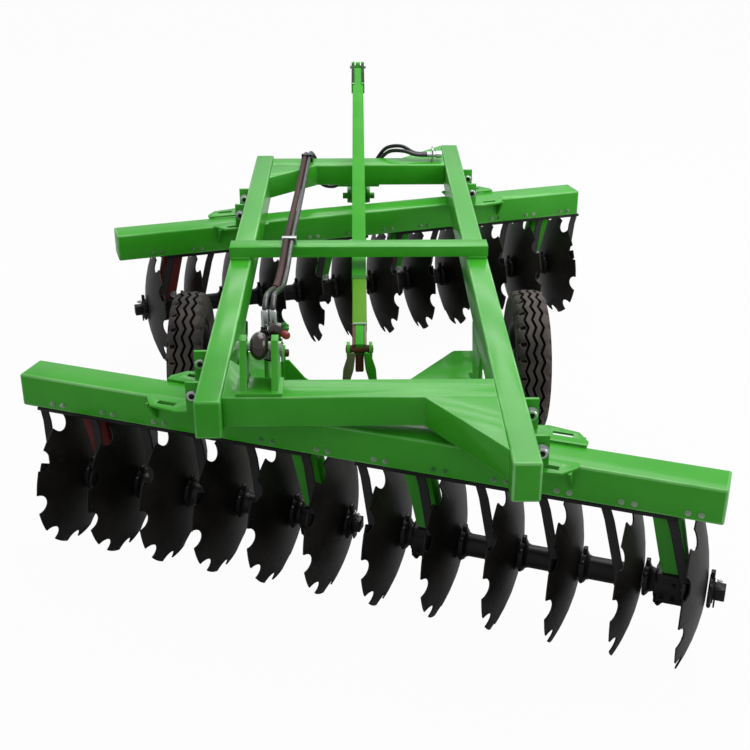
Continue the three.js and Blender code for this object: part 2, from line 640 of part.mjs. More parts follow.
// Levelling rod: a square bar with a wider adjusting sleeve at the rear and a fork at the mast.
const rodRun = new THREE.Vector2(mastPin.y - earPin.y, mastPin.z - earPin.z);
const rodSpan = rodRun.length();
rodRun.normalize();
const onRod = (s) => [0, earPin.y + rodRun.x * s, earPin.z + rodRun.y * s];
const forkDepth = 130;
const fork = [-1, 1].map((side) => {
  const [x0, x1] = [side * (mastHalf + 6), side * (rodWidth / 2)].sort((a, b) => a - b);
  const [rootY, rootZ] = onRod(rodSpan - forkDepth).slice(1);
  return sidePlate(leverShape(rootY, rootZ, 31, mastPin.y, mastPin.z, 30), x0, x1)
    .subtract(barAlongX(16, -60, 60, mastPin.y, mastPin.z));
});
add('levelling_rod', joined([
  barBetween(onRod(-26), onRod(560), rodWidth - 4, rodWidth + 6),
  barBetween(onRod(540), onRod(rodSpan - forkDepth + 20), rodWidth, rodWidth - 4),
  ...fork,
]).subtract(barAlongX(20, -60, 60, earPin.y, earPin.z)), paint.green);

// ---- hydraulic hoses ---------------------------------------------------------------------

// A hose swept along a smooth curve through its hand-placed points.
function hose(name, points, radius, steps, material) {
  const curve = new THREE.CatmullRomCurve3(points.map((p) => new THREE.Vector3(...p)), false, 'centripetal');
  const section = new THREE.Shape(ringPoints(radius, 8));
  const geometry = new THREE.ExtrudeGeometry(section,
    { steps, bevelEnabled: false, extrudePath: curve });
  return add(name, toSolid(geometry), material);
}

const hoseRadius = 11;
const leftRoute = [
  [-352, 262, 1190], [-352, 262, 1235], [-350, 330, 1262], [-347, 520, 1215], [-344, 820, 1120],
  [-342, 1120, 1084], [-340, 1400, 1084], [-338, 1485, 1084], [-336, 1600, 1082],
  [-330, 2000, 1060], [-322, 2500, 1040], [-314, 2950, 1036], [-311, 3065, 1036],
  [-306, 3140, 1036], [-292, 3182, 1000], [-262, 3190, 900], [-215, 3190, 835],
  [-150, 3190, 822], [-95, 3189, 850], [-45, 3188, 878], [0, 3188, 878], [45, 3188, 878],
  [85, 3186, 920], [125, 3180, 985], [180, 3150, 1044], [265, 3095, 1062], [330, 3068, 1049],
  [370, 3066, 1046], [400, 3066, 1046],
];
const rightRoute = [
  [-322, 262, 1190], [-322, 262, 1235], [-321, 330, 1262], [-319, 520, 1215], [-316, 820, 1120],
  [-314, 1120, 1084], [-312, 1400, 1084], [-310, 1485, 1084], [-308, 1600, 1082],
  [-302, 2000, 1060], [-295, 2500, 1040], [-287, 2950, 1036], [-284, 3065, 1036],
  [-279, 3160, 1036], [-262, 3212, 1000], [-225, 3220, 905], [-180, 3220, 858],
  [-125, 3219, 852], [-85, 3218, 864], [-45, 3217, 882], [0, 3217, 882], [45, 3217, 882],
  [80, 3215, 930], [115, 3210, 990], [165, 3185, 1056], [255, 3135, 1080], [325, 3100, 1052],
  [370, 3096, 1046], [400, 3096, 1046],
];
hose('hose_left', leftRoute, hoseRadius, 56, paint.hose);
hose('hose_right', rightRoute, hoseRadius, 56, paint.hose);

// Clamps hold both hoses on the middle beam, on top of the front beam and on its front face.
const clampBore = hoseRadius + 2;
const middleTop = railTop + footHeight + middleBeamHeight;
const clampPair = (shell, ...bores) => bores.reduce((all, bore) => all.subtract(bore), shell);
const boreAlongY = (x, y, z) => roundBetween([x, y - 60, z], [x, y + 60, z], clampBore, 12);
add('hose_clamp_middle', clampPair(
  block([-358, 1470, middleTop + gap], [-290, 1500, 1102]),
  boreAlongY(-338, 1485, 1084), boreAlongY(-310, 1485, 1084)), paint.zinc);
add('hose_clamp_front', clampPair(
  block([-330, 3050, railTop + gap], [-265, 3080, 1054]),
  boreAlongY(-311, 3065, 1036), boreAlongY(-284, 3065, 1036)), paint.black);
add('hose_clamp_lower', clampPair(
  block([-14, frontBeamEnds[1] + gap, 862], [14, 3238, 898]),
  barAlongX(clampBore + 1, -30, 30, 3188, 878, 12),
  barAlongX(clampBore + 1, -30, 30, 3217, 882, 12)), paint.black);

// Quick couplers parked in a holder on the front beam.
const couplerStart = 400 + gap;
add('hose_couplers', joined([
  block([428, 3036, railTop + gap], [436, 3126, 1082]),
  ...[3066, 3096].map((y) => joined([
    barAlongX(13, couplerStart, 452, y, 1046, 12), barAlongX(17, 452, 486, y, 1046, 12)])),
]), paint.zinc);

// The footprint's middle becomes the origin.
const bounds = new THREE.Box3().setFromObject(harrow, true);
const centre = bounds.getCenter(new THREE.Vector3());
harrow.position.set(-centre.x, -centre.y, -bounds.min.z);
harrow.updateMatrixWorld(true);

export default harrow;
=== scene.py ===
# Trailed offset disc harrow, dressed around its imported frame.
# Lengths in the dictionaries are millimetres, with Y from the rear face of the rear cross beam and Z
# from a little under the ground, so the tops of the rails are at 1010.
import json
import math

import bmesh
import bpy
from mathutils import Matrix, Vector


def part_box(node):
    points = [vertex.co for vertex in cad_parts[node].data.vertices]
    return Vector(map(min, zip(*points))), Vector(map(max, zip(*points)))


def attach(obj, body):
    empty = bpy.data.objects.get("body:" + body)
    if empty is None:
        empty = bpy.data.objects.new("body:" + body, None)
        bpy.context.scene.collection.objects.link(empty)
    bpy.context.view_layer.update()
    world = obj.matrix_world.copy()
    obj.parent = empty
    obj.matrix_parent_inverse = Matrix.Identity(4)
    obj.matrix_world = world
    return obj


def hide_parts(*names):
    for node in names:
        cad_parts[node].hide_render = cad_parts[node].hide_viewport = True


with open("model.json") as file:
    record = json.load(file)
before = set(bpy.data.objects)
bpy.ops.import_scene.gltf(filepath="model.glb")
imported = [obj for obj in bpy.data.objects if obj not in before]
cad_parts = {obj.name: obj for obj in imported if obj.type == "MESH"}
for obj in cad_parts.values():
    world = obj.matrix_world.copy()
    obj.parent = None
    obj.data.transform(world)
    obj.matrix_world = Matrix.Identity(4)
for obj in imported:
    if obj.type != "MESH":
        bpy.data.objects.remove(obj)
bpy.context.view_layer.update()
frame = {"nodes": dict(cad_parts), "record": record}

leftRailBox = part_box("left_rail")
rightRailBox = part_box("right_rail")
middleX = (leftRailBox[0].x + rightRailBox[1].x) / 2
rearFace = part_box("rear_cross_beam")[0].y
mm = 0.001
drop = leftRailBox[1].z - 1010 * mm


def spot(x, y, z):
    return Vector((middleX + x * mm, rearFace + y * mm, z * mm + drop))


def moveTo(x, y, z):
    return Matrix.Translation(spot(x, y, z))


def local(x, y, z):
    return Matrix.Translation((x * mm, y * mm, z * mm))


def turn(angle, axis):
    return Matrix.Rotation(math.radians(angle), 4, axis)


def aimed(start, end):
    # Local X runs from the start towards the end.
    return Matrix.Translation(start) @ (end - start).to_track_quat("X", "Z").to_matrix().to_4x4()


def addObject(name, data):
    made = bpy.data.objects.new(name, data)
    bpy.context.scene.collection.objects.link(made)
    return made


# Finishes.

# The values that a finish leaves out.
usualLook = {"metal": 0.0, "coat": 0.0, "shine": 0.3}
finishes = {
    "greenPaint": {"slot": "green_paint", "base": (0.036, 0.33, 0.014), "worn": (0.05, 0.37, 0.022),
        "rough": 0.3, "coat": 0.3, "shine": 0.12, "speck": 0.1, "dust": (0.06, 0.12, 0.04),
        "bump": 0.06, "grain": 55},
    "darkGreenPaint": {"slot": "green_paint", "base": (0.025, 0.16, 0.012), "worn": (0.04, 0.22, 0.03),
        "rough": 0.36, "coat": 0.1, "shine": 0.15, "speck": 0.15, "dust": (0.06, 0.1, 0.04),
        "bump": 0.06, "grain": 55},
    "rodGreen": {"slot": "green_paint", "base": (0.036, 0.3, 0.016), "worn": (0.05, 0.34, 0.026),
        "rough": 0.5, "shine": 0.06, "speck": 0.12, "dust": (0.06, 0.12, 0.04), "bump": 0.08,
        "grain": 55},
    # A lighter green for the rounded edges: partly edge wear, partly a painted highlight along every edge.
    "edgeGreen": {"slot": "green_paint", "base": (0.055, 0.385, 0.03), "worn": (0.2, 0.56, 0.16),
        "rough": 0.28, "coat": 0.4, "shine": 0.25, "speck": 0.5, "dust": (0.42, 0.62, 0.38),
        "bump": 0.06, "grain": 45},
    # A near-black copy of the green paint: painted shade for the far fork's cheeks.
    "paintedShadeGreen": {"slot": "green_paint", "base": (0.005, 0.03, 0.005), "worn": (0.02, 0.07, 0.016),
        "rough": 0.5, "shine": 0.1, "speck": 0.3, "dust": (0.07, 0.14, 0.06), "bump": 0.08,
        "grain": 90},
    # An olive green, yellower and a little darker than the rod's green, for the rod's sleeve.
    "oliveGreen": {"slot": "green_paint", "base": (0.085, 0.26, 0.012), "worn": (0.12, 0.29, 0.025),
        "rough": 0.5, "shine": 0.06, "speck": 0.15, "dust": (0.16, 0.17, 0.08), "bump": 0.08,
        "grain": 55},
    "greyOlive": {"slot": "green_paint", "base": (0.13, 0.15, 0.06), "worn": (0.18, 0.2, 0.1),
        "rough": 0.5, "metal": 0.1, "coat": 0.1, "speck": 0.3, "dust": (0.1, 0.08, 0.05),
        "bump": 0.1, "grain": 60},
    "maroonPrimer": {"slot": "maroon_primer", "base": (0.13, 0.012, 0.014), "worn": (0.19, 0.03, 0.02),
        "rough": 0.5, "coat": 0.1, "speck": 0.3, "dust": (0.05, 0.008, 0.008), "bump": 0.1,
        "grain": 40},
    "discSteel": {"slot": "disc_steel", "base": (0.002, 0.0016, 0.0018), "worn": (0.008, 0.0065, 0.006),
        "rough": 0.42, "shine": 0.06, "speck": 0.4, "dust": (0.026, 0.021, 0.018), "bump": 0.25,
        "grain": 38},
    "discEdge": {"slot": "disc_steel", "base": (0.008, 0.007, 0.006), "worn": (0.03, 0.026, 0.023),
        "rough": 0.38, "metal": 0.2, "shine": 0.2, "speck": 0.4, "dust": (0.1, 0.085, 0.072),
        "bump": 0.2, "grain": 60},
    "blackPaint": {"slot": "black_paint", "base": (0.006, 0.005, 0.006), "worn": (0.018, 0.016, 0.016),
        "rough": 0.36, "coat": 0.05, "shine": 0.2, "speck": 0.3, "dust": (0.06, 0.05, 0.045),
        "bump": 0.15, "grain": 50},
    # A darker rubber for the groove floors: painted shade in the grooves.
    "grooveShadeRubber": {"slot": "tyre", "base": (0.003, 0.002, 0.002), "worn": (0.008, 0.006, 0.005),
        "rough": 0.8, "shine": 0.08, "speck": 0.3, "dust": (0.02, 0.016, 0.014), "bump": 0.3,
        "grain": 90},
    "tyreRubber": {"slot": "tyre", "base": (0.036, 0.029, 0.028), "worn": (0.115, 0.096, 0.086),
        "rough": 0.66, "shine": 0.25, "speck": 0.5, "dust": (0.085, 0.07, 0.06), "bump": 0.3,
        "grain": 90},
    "smearedBolt": {"slot": "zinc", "base": (0.06, 0.26, 0.05), "worn": (0.5, 0.56, 0.48),
        "rough": 0.3, "metal": 0.5, "coat": 0.2, "speck": 0.6, "dust": (0.45, 0.5, 0.42),
        "bump": 0.1, "grain": 240},
    "zincPlate": {"slot": "zinc", "base": (0.5, 0.52, 0.53), "worn": (0.66, 0.66, 0.64),
        "rough": 0.28, "metal": 0.9, "speck": 0.3, "dust": (0.28, 0.28, 0.27), "bump": 0.1,
        "grain": 120},
    "chromeRod": {"slot": "chrome", "base": (0.7, 0.71, 0.73), "worn": (0.78, 0.79, 0.8),
        "rough": 0.1, "metal": 1.0, "speck": 0.1, "dust": (0.5, 0.5, 0.5), "bump": 0.02, "grain": 150},
    "hoseRubber": {"slot": "hose_rubber", "base": (0.012, 0.01, 0.012), "worn": (0.045, 0.042, 0.046),
        "rough": 0.26, "coat": 0.4, "speck": 0.2, "dust": (0.09, 0.085, 0.09), "bump": 0.12,
        "grain": 130},
    "hoseSleeve": {"slot": "hose_rubber", "base": (0.03, 0.008, 0.007), "worn": (0.06, 0.02, 0.016),
        "rough": 0.6, "speck": 0.4, "dust": (0.03, 0.012, 0.01), "bump": 0.5, "grain": 160},
    "glossCap": {"slot": "black_paint", "base": (0.012, 0.008, 0.007), "worn": (0.03, 0.018, 0.016),
        "rough": 0.16, "metal": 0.15, "coat": 0.8, "speck": 0.2, "dust": (0.09, 0.06, 0.05),
        "bump": 0.06, "grain": 50},
    "redPlug": {"slot": "black_paint", "base": (0.22, 0.01, 0.014), "worn": (0.28, 0.03, 0.02),
        "rough": 0.35, "coat": 0.3, "speck": 0.1, "dust": (0.08, 0.01, 0.01), "bump": 0.1,
        "grain": 120},
    "forkBrown": {"slot": "maroon_primer", "base": (0.085, 0.03, 0.012), "worn": (0.15, 0.065, 0.03),
        "rough": 0.55, "metal": 0.1, "speck": 0.5, "dust": (0.07, 0.03, 0.015), "bump": 0.3,
        "grain": 90},
    "beigeTape": {"slot": "hose_rubber", "base": (0.3, 0.26, 0.19), "worn": (0.38, 0.34, 0.26),
        "rough": 0.6, "speck": 0.3, "dust": (0.16, 0.13, 0.09), "bump": 0.2, "grain": 90},
}


def makeFinish(name, look):
    look = {**usualLook, **look}
    material = bpy.data.materials.new(name)
    material.use_nodes = True
    nodes, links = material.node_tree.nodes, material.node_tree.links
    shader = nodes["Principled BSDF"]
    shader.inputs["Metallic"].default_value = look["metal"]
    shader.inputs["Coat Weight"].default_value = look["coat"]
    shader.inputs["Coat Roughness"].default_value = 0.12
    shader.inputs["Specular IOR Level"].default_value = look["shine"]
    place = nodes.new("ShaderNodeTexCoord")

    def noiseAt(scale, detail, roughness=0.55):
        noise = nodes.new("ShaderNodeTexNoise")
        noise.inputs["Scale"].default_value = scale
        noise.inputs["Detail"].default_value = detail
        noise.inputs["Roughness"].default_value = roughness
        links.new(place.outputs["Object"], noise.inputs["Vector"])
        return noise

    def mixed(noise, low, high, top, color):
        # Lays a colour where the noise is high; `top` is how strong it gets.
        ramp = nodes.new("ShaderNodeValToRGB")
        ramp.color_ramp.elements[0].position = low
        ramp.color_ramp.elements[1].position = high
        ramp.color_ramp.elements[1].color = (top,) * 3 + (1,)
        links.new(noise.outputs["Fac"], ramp.inputs["Fac"])
        mix = nodes.new("ShaderNodeMix")
        mix.data_type = "RGBA"
        mix.inputs["B"].default_value = (*color, 1)
        links.new(ramp.outputs["Color"], mix.inputs["Factor"])
        return mix

    patches = noiseAt(3.1, 5)
    film = mixed(patches, 0.42, 0.68, 1, look["worn"])                       # broad uneven film
    film.inputs["A"].default_value = (*look["base"], 1)
    dusted = mixed(noiseAt(look["grain"], 6, 0.7), 0.60, 0.74, look["speck"], look["dust"])
    links.new(film.outputs["Result"], dusted.inputs["A"])
    links.new(dusted.outputs["Result"], shader.inputs["Base Color"])

    gloss = nodes.new("ShaderNodeMapRange")
    gloss.inputs["To Min"].default_value = look["rough"] - 0.06
    gloss.inputs["To Max"].default_value = look["rough"] + 0.12
    links.new(patches.outputs["Fac"], gloss.inputs["Value"])
    links.new(gloss.outputs["Result"], shader.inputs["Roughness"])

    skin = noiseAt(look["grain"] * 2.2, 4)
    relief = nodes.new("ShaderNodeBump")
    relief.inputs["Strength"].default_value = look["bump"]
    relief.inputs["Distance"].default_value = 0.002
    links.new(skin.outputs["Fac"], relief.inputs["Height"])
    links.new(relief.outputs["Normal"], shader.inputs["Normal"])
    return material


paint = {name: makeFinish(name, look) for name, look in finishes.items()}
nodeFinish = {"green_paint": "greenPaint", "maroon_primer": "maroonPrimer", "disc_steel": "discSteel",
              "black_paint": "blackPaint", "tyre": "tyreRubber", "zinc": "zincPlate", "chrome": "chromeRod",
              "hose_rubber": "hoseRubber"}
for part in frame["record"]["subparts"]:
    node = frame["nodes"][part["node"]]
    node.data.materials.clear()
    node.data.materials.append(paint[nodeFinish[part["material_slot"]]])
print("finishes made")


# Shaping helpers.

def finishPiece(shape, name, body, finish, replaced=(), more=(), smooth=38):
    mesh = bpy.data.meshes.new(name)
    shape.to_mesh(mesh)
    shape.free()
    for made in (finish, *more):
        mesh.materials.append(paint[made])
    mesh.shade_smooth()
    mesh.set_sharp_from_angle(angle=math.radians(smooth))
    piece = addObject(name, mesh)
    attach(piece, body)
    if replaced:
        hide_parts(*replaced)
    return piece


def faceOut(shape):
    bmesh.ops.recalc_face_normals(shape, faces=shape.faces)


def placed(shape, place):
    bmesh.ops.transform(shape, matrix=place, verts=shape.verts)


def joinInto(target, part, place=None, material=0):
    if place is not None:
        placed(part, place)
    if material:
        for face in part.faces:
            face.material_index = material
    scratch = bpy.data.meshes.new("scratch")
    part.to_mesh(scratch)
    part.free()
    target.from_mesh(scratch)
    bpy.data.meshes.remove(scratch)


def vertsOf(geometry):
    return [element for element in geometry if isinstance(element, bmesh.types.BMVert)]


def roundEdges(shape, radius, segments=2, sharperThan=30):
    edges = [e for e in shape.edges if len(e.link_faces) == 2
             and e.calc_face_angle(0) > math.radians(sharperThan)]
    made = bmesh.ops.bevel(shape, geom=edges, offset=radius, offset_type="OFFSET", segments=segments,
                           profile=0.5, affect="EDGES", clamp_overlap=True, material=-1)
    return made["faces"]


def roundedBlock(size, radius, segments=2):
    shape = bmesh.new()
    bmesh.ops.create_cube(shape, size=1)
    bmesh.ops.scale(shape, vec=[s * mm for s in size], verts=shape.verts)
    roundEdges(shape, radius * mm, segments)
    return shape


def turned(profile, steps=32, closed=False):
    # Spins a profile of (radius, x) points round the X axis.
    shape = bmesh.new()
    points = [shape.verts.new((x * mm, radius * mm, 0)) for radius, x in profile]
    edges = [shape.edges.new(pair) for pair in zip(points, points[1:])]
    if closed:
        edges.append(shape.edges.new((points[-1], points[0])))
    bmesh.ops.spin(shape, geom=points + edges, cent=(0, 0, 0), axis=(1, 0, 0), angle=2 * math.pi,
                   steps=steps, use_merge=True)
    bmesh.ops.remove_doubles(shape, verts=shape.verts, dist=1e-6)
    faceOut(shape)
    return shape


def plate(points, thickness, corner, edge):
    # A flat plate drawn in X and Y, with its corners rounded, lying on Z = 0.
    shape = bmesh.new()
    face = shape.faces.new([shape.verts.new((x * mm, y * mm, 0)) for x, y in points])
    bmesh.ops.bevel(shape, geom=shape.verts[:], offset=corner * mm, offset_type="OFFSET", segments=4,
                    profile=0.5, affect="VERTICES", clamp_overlap=True, material=-1)
    made = bmesh.ops.extrude_face_region(shape, geom=shape.faces[:])
    bmesh.ops.translate(shape, vec=(0, 0, thickness * mm), verts=vertsOf(made["geom"]))
    faceOut(shape)
    roundEdges(shape, edge * mm, 2, 50)
    return shape


def drum(sides, low, high, depth, middle):
    # A capped cylinder or cone along Z, from a low to a high radius, its middle at the height given.
    shape = bmesh.new()
    bmesh.ops.create_cone(shape, cap_ends=True, segments=sides, radius1=low * mm, radius2=high * mm,
                          depth=depth * mm, matrix=Matrix.Translation((0, 0, middle * mm)))
    return shape


# Radii as shares of the width across the flats, then two lengths.
boltSettings = {"corner": 0.577, "rounding": 0.06, "washer": 0.92, "stem": 0.32, "stemTip": 0.27,
                "washerDepth": 2.5, "stemLift": 2}


def hexBolt(across, head, shank, washer=True):
    # Head up along +Z, seated on Z = 0.
    s = boltSettings
    corner, ring = across * s["corner"], across * s["washer"]
    seat = s["washerDepth"] if washer else 0
    shape = drum(6, corner, corner, head, head / 2 + seat)
    roundEdges(shape, across * s["rounding"] * mm, 2, 50)
    if washer:
        joinInto(shape, drum(20, ring, ring, seat, seat / 2))
    if shank:
        joinInto(shape, drum(14, across * s["stem"], across * s["stemTip"], shank,
                             head + shank / 2 + s["stemLift"]))
    return shape


def softened(name, node, radius, finish="greenPaint", body="frame", segments=2, sharperThan=30):
    # A copy of a CAD node with its facets merged and its edges rounded; on green paint the rounded edges
    # take a lighter green, partly edge wear and partly a painted highlight.
    shape = bmesh.new()
    shape.from_mesh(frame["nodes"][node].data)
    bmesh.ops.remove_doubles(shape, verts=shape.verts, dist=2e-5)
    bmesh.ops.dissolve_limit(shape, angle_limit=math.radians(2), verts=shape.verts, edges=shape.edges)
    for face in roundEdges(shape, radius * mm, segments, sharperThan):
        face.material_index = 1
    edgeWearAndHighlight = "edgeGreen" if finish == "greenPaint" else finish
    return finishPiece(shape, name, body, finish, replaced=(node,), more=(edgeWearAndHighlight,))


def sweptBar(path, width, thickness, edge):
    # A flat bar through the points of a path, with its width along X.
    shape = bmesh.new()
    across = Vector((1, 0, 0))
    start, heading = path[0], (path[1] - path[0]).normalized()
    thin = across.cross(heading).normalized()
    corners = [start + across * (a * width / 2 * mm) + thin * (b * thickness / 2 * mm)
               for a, b in ((-1, -1), (1, -1), (1, 1), (-1, 1))]
    face = shape.faces.new([shape.verts.new(c) for c in corners])
    for index in range(1, len(path)):
        made = bmesh.ops.extrude_face_region(shape, geom=[face])
        bmesh.ops.translate(shape, vec=path[index] - path[index - 1], verts=vertsOf(made["geom"]))
        if index > 1:
            bmesh.ops.delete(shape, geom=[face], context="FACES_ONLY")
        face = next(f for f in made["geom"] if isinstance(f, bmesh.types.BMFace))
    faceOut(shape)
    roundEdges(shape, edge * mm, 1, 50)
    return shape


def tube(points, radius, sides=14):
    # A round tube along a path, made from a bevelled curve.
    curve = bpy.data.curves.new("route", "CURVE")
    curve.dimensions = "3D"
    curve.bevel_depth = radius * mm
    curve.bevel_resolution = (sides - 4) // 2
    curve.use_fill_caps = True
    spline = curve.splines.new("POLY")
    spline.points.add(len(points) - 1)
    for point, place in zip(spline.points, points):
        point.co = (*place, 1)
    holder = addObject("route", curve)
    bpy.context.view_layer.update()
    drawn = holder.evaluated_get(bpy.context.evaluated_depsgraph_get())
    mesh = bpy.data.meshes.new_from_object(drawn)
    shape = bmesh.new()
    shape.from_mesh(mesh)
    bmesh.ops.remove_doubles(shape, verts=shape.verts, dist=1e-6)
    bpy.data.objects.remove(holder)
    bpy.data.curves.remove(curve)
    bpy.data.meshes.remove(mesh)
    return shape


# Main frame.

frameSettings = {"rail": 9, "frontBeam": 8, "beam": 5, "brace": 4, "plate": 2.5}     # edge radii
for node in ("left_rail", "right_rail"):
    softened(node + "Tube", node, frameSettings["rail"], segments=3)
softened("front_cross_beamTube", "front_cross_beam", frameSettings["frontBeam"], segments=3)
softened("rearCrossBeamTube", "rear_cross_beam", frameSettings["beam"])
softened("middleCrossBeamTube", "middle_cross_beam", frameSettings["beam"])
for node in ("rear_right_brace", "front_right_brace", "front_left_brace"):
    softened(node + "Box", node, frameSettings["brace"])
for node in ("left_shaft_hanger", "right_shaft_hanger", "drawbar_bracket", "cylinder_bracket"):
    softened(node + "Plate", node, frameSettings["plate"])
print("main frame done")


# Gangs.

gangSettings = {
    "discs": 6, "shaft": 392, "beamBottom": 710,
    "rear": {"lean": 1, "angle": 20, "spacing": 230, "rimCentre": 40},
    "front": {"lean": -1, "angle": 16.5, "spacing": 216, "rimCentre": 48},
}
discSettings = {"radius": 299, "dish": 65, "thickness": 6, "notches": 10, "biteRadius": 43, "biteOut": 2,
                "band": 10, "phases": (0, 6, -4, 3, -7, 5), "rings": (240, 188, 136, 86, 46)}
spoolSettings = {"bore": 18, "gapToDisc": 4, "flange": 60, "flangeDepth": 16, "taper": 24, "waistStart": 36,
                 "waist": 44, "outerEnd": 64, "innerEnd": 58, "stubStart": 22, "stub": 50,
                 "lockOut": 26, "lockBolt": (30, 46), "keeper": (16, 98, 98), "keeperOut": 12,
                 "cap": ((18, 0), (58, 0), (58, 12), (46, 16), (46, 20), (18, 20)),
                 "lock": ((-17, -64), (17, -64), (22, 28), (-22, 28))}
bearingSettings = {"housing": (136, 112, 122), "footBolts": (50, 38, -61), "coverBolts": (40, -56, -38),
                   "oiler": 26, "collar": ((47, -70), (58, -70), (60, -62), (60, 62), (58, 70), (47, 70))}
standardSettings = {"half": 51, "top": 709, "low": 446, "depth": 76, "corner": 26, "rim": 4, "recess": 2.5,
                    "lean": 58, "foot": (44, 92, 12)}
scraperSettings = {"setback": 150, "boltSetback": 73, "arm": 36, "armThickness": 11, "armTop": (-60, 699),
                   "armKnee": (-76, 655), "bar": (28, 13), "barOverhang": 24, "blade": 64,
                   "bladeLength": 186, "bladeAngle": 28, "bladeRadius": 188, "clear": 24}
# The round nuts and studs of the lugs, as (radius, height) profiles, and their place beside a rail.
lugSettings = {"along": 133, "back": 8, "out": 33, "height": 925,
               "nut": ((10, 0), (27, 0), (27, 4), (21, 5), (22, 9), (22, 20), (18, 24), (12, 24), (10, 20)),
               "stud": ((0, 0), (9, 0), (9, 15), (7, 17), (0, 17))}

sphereRadius = (discSettings["radius"] ** 2 + discSettings["dish"] ** 2) / (2 * discSettings["dish"])


def dishAt(radius):
    return sphereRadius - math.sqrt(sphereRadius ** 2 - radius ** 2)


def discOutline():
    # One point list round the rim: a round bite and a plain land in every sector.
    radius, bite = discSettings["radius"], discSettings["biteRadius"]
    centre = radius + discSettings["biteOut"]
    sector = 2 * math.pi / discSettings["notches"]
    reach = math.acos((centre ** 2 - radius ** 2 + bite ** 2) / (2 * centre * bite))
    edge = math.atan2(bite * math.sin(reach), centre - bite * math.cos(reach))
    biteSteps, landSteps = 12, 6
    points = []
    for index in range(discSettings["notches"]):
        for step in range(biteSteps + 1):
            phi = -reach + 2 * reach * step / biteSteps
            y, z = centre - bite * math.cos(phi), bite * math.sin(phi)
            points.append((math.hypot(y, z), math.atan2(z, y) + index * sector))
        for step in range(1, landSteps):
            points.append((radius, edge + (sector - 2 * edge) * step / landSteps + index * sector))
    return points


def discShape(lean, phase):
    s = discSettings
    outline = discOutline()
    sector = 2 * math.pi / s["notches"]
    centre = s["radius"] + s["biteOut"]
    shape = bmesh.new()
    ring = bmesh.ops.create_circle(shape, cap_ends=False, radius=1, segments=len(outline))["verts"]
    for vert, (radius, angle) in zip(ring, outline):
        vert.co = (0, radius * math.cos(angle) * mm, radius * math.sin(angle) * mm)
    edges = shape.edges[:]
    for number, target in enumerate((None, *s["rings"])):
        made = bmesh.ops.extrude_edge_only(shape, edges=edges)["geom"]
        for vert in vertsOf(made):
            radius, angle = math.hypot(vert.co.y, vert.co.z), math.atan2(vert.co.z, vert.co.y)
            if number == 0:
                # Step inwards square to the rim, so the ground band follows the bites.
                near = round(angle / sector) * sector
                bite = Vector((0, centre * math.cos(near) * mm, centre * math.sin(near) * mm))
                away = vert.co - bite
                inBite = away.length < (s["biteRadius"] + 0.5) * mm
                step = away.normalized() if inBite else -vert.co.normalized()
                vert.co += step * s["band"] * mm
            else:
                vert.co = (0, target * math.cos(angle) * mm, target * math.sin(angle) * mm)
        if number == 0:
            for face in shape.faces:
                face.material_index = 1
        edges = [e for e in made if isinstance(e, bmesh.types.BMEdge)]
    bmesh.ops.contextual_create(shape, geom=edges)
    for vert in shape.verts:
        vert.co.x = -lean * dishAt(math.hypot(vert.co.y, vert.co.z) / mm) * mm
    faceOut(shape)
    bmesh.ops.solidify(shape, geom=shape.faces[:], thickness=s["thickness"] * mm)
    faceOut(shape)
    placed(shape, turn(phase, "X"))
    return shape


def gangFrame(prefix):
    low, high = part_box(prefix + "_gang_beam")
    centre = (low + high) / 2
    lean = gangSettings[prefix]["lean"]
    return Matrix.Translation((centre.x, centre.y, drop)) @ turn(-lean * gangSettings[prefix]["angle"], "Z")


def gangHubs(prefix):
    lean, rim = gangSettings[prefix]["lean"], gangSettings[prefix]["rimCentre"]
    middle = rim + lean * discSettings["dish"]
    row = gangSettings["discs"] * 2
    return [middle + (i - (row - 1) / 2) * gangSettings[prefix]["spacing"] for i in range(row)]


def buildGang(prefix, hand, hubs, lean, place):
    shape, axle = bmesh.new(), bmesh.new()
    shaft = gangSettings["shaft"]
    for index, hub in enumerate(hubs):
        joinInto(shape, discShape(lean, discSettings["phases"][index]), local(hub, 0, shaft))
    s = spoolSettings
    gap, flange = s["gapToDisc"], s["flange"]
    half = [(s["bore"], 0), (flange, 0), (flange, s["flangeDepth"]), (flange - 12, s["taper"]),
            (s["waist"], s["waistStart"])]
    for start, end in zip(hubs, hubs[1:]):
        a, b = start + gap, end - gap
        spool = [(r, a + x) for r, x in half] + [(r, b - x) for r, x in reversed(half)]
        joinInto(axle, turned(spool, 28, closed=True), local(0, 0, shaft))
    outward = -1 if abs(hubs[0]) > abs(hubs[-1]) else 1
    for side, hub in ((-1, hubs[0]), (1, hubs[-1])):
        reach = s["outerEnd"] if side == outward else s["innerEnd"]
        a = hub + side * gap
        cap = turned([(r, a + side * x) for r, x in s["cap"]], 28, closed=True)
        joinInto(axle, cap, local(0, 0, shaft))
        stub = reach - s["stubStart"]
        joinInto(axle, roundedBlock((stub, s["stub"], s["stub"]), 4),
                 local(hub + side * (s["stubStart"] + stub / 2), 0, shaft))
        lock = plate(s["lock"], 6, 5, 1)
        joinInto(axle, lock, local(hub + side * s["lockOut"], 0, shaft) @ turn(90, "Y") @ turn(90, "Z"))
        out, up = s["lockBolt"]
        joinInto(axle, hexBolt(13, 12, 6), local(hub + side * out, 0, shaft + up) @ turn(side * 90, "Y"), 3)
    for hub in hubs:
        # The keeper block and its small bolt on the bulging side of each disc.
        x = hub + lean * s["keeperOut"]
        joinInto(axle, roundedBlock(s["keeper"], 8), local(x, 0, shaft))
        joinInto(axle, roundedBlock((16, 22, 34), 3), local(x + lean * 2, 8, shaft + 62))
    for face in axle.faces:
        face.material_index = 3 if face.material_index == 3 else 2
    joinInto(shape, axle)
    placed(shape, place)
    node = f"{prefix}_{hand}_gang"
    finishPiece(shape, f"{prefix}{hand.title()}Discs", node, "discSteel", (node,),
                ("discEdge", "blackPaint", "zincPlate"))


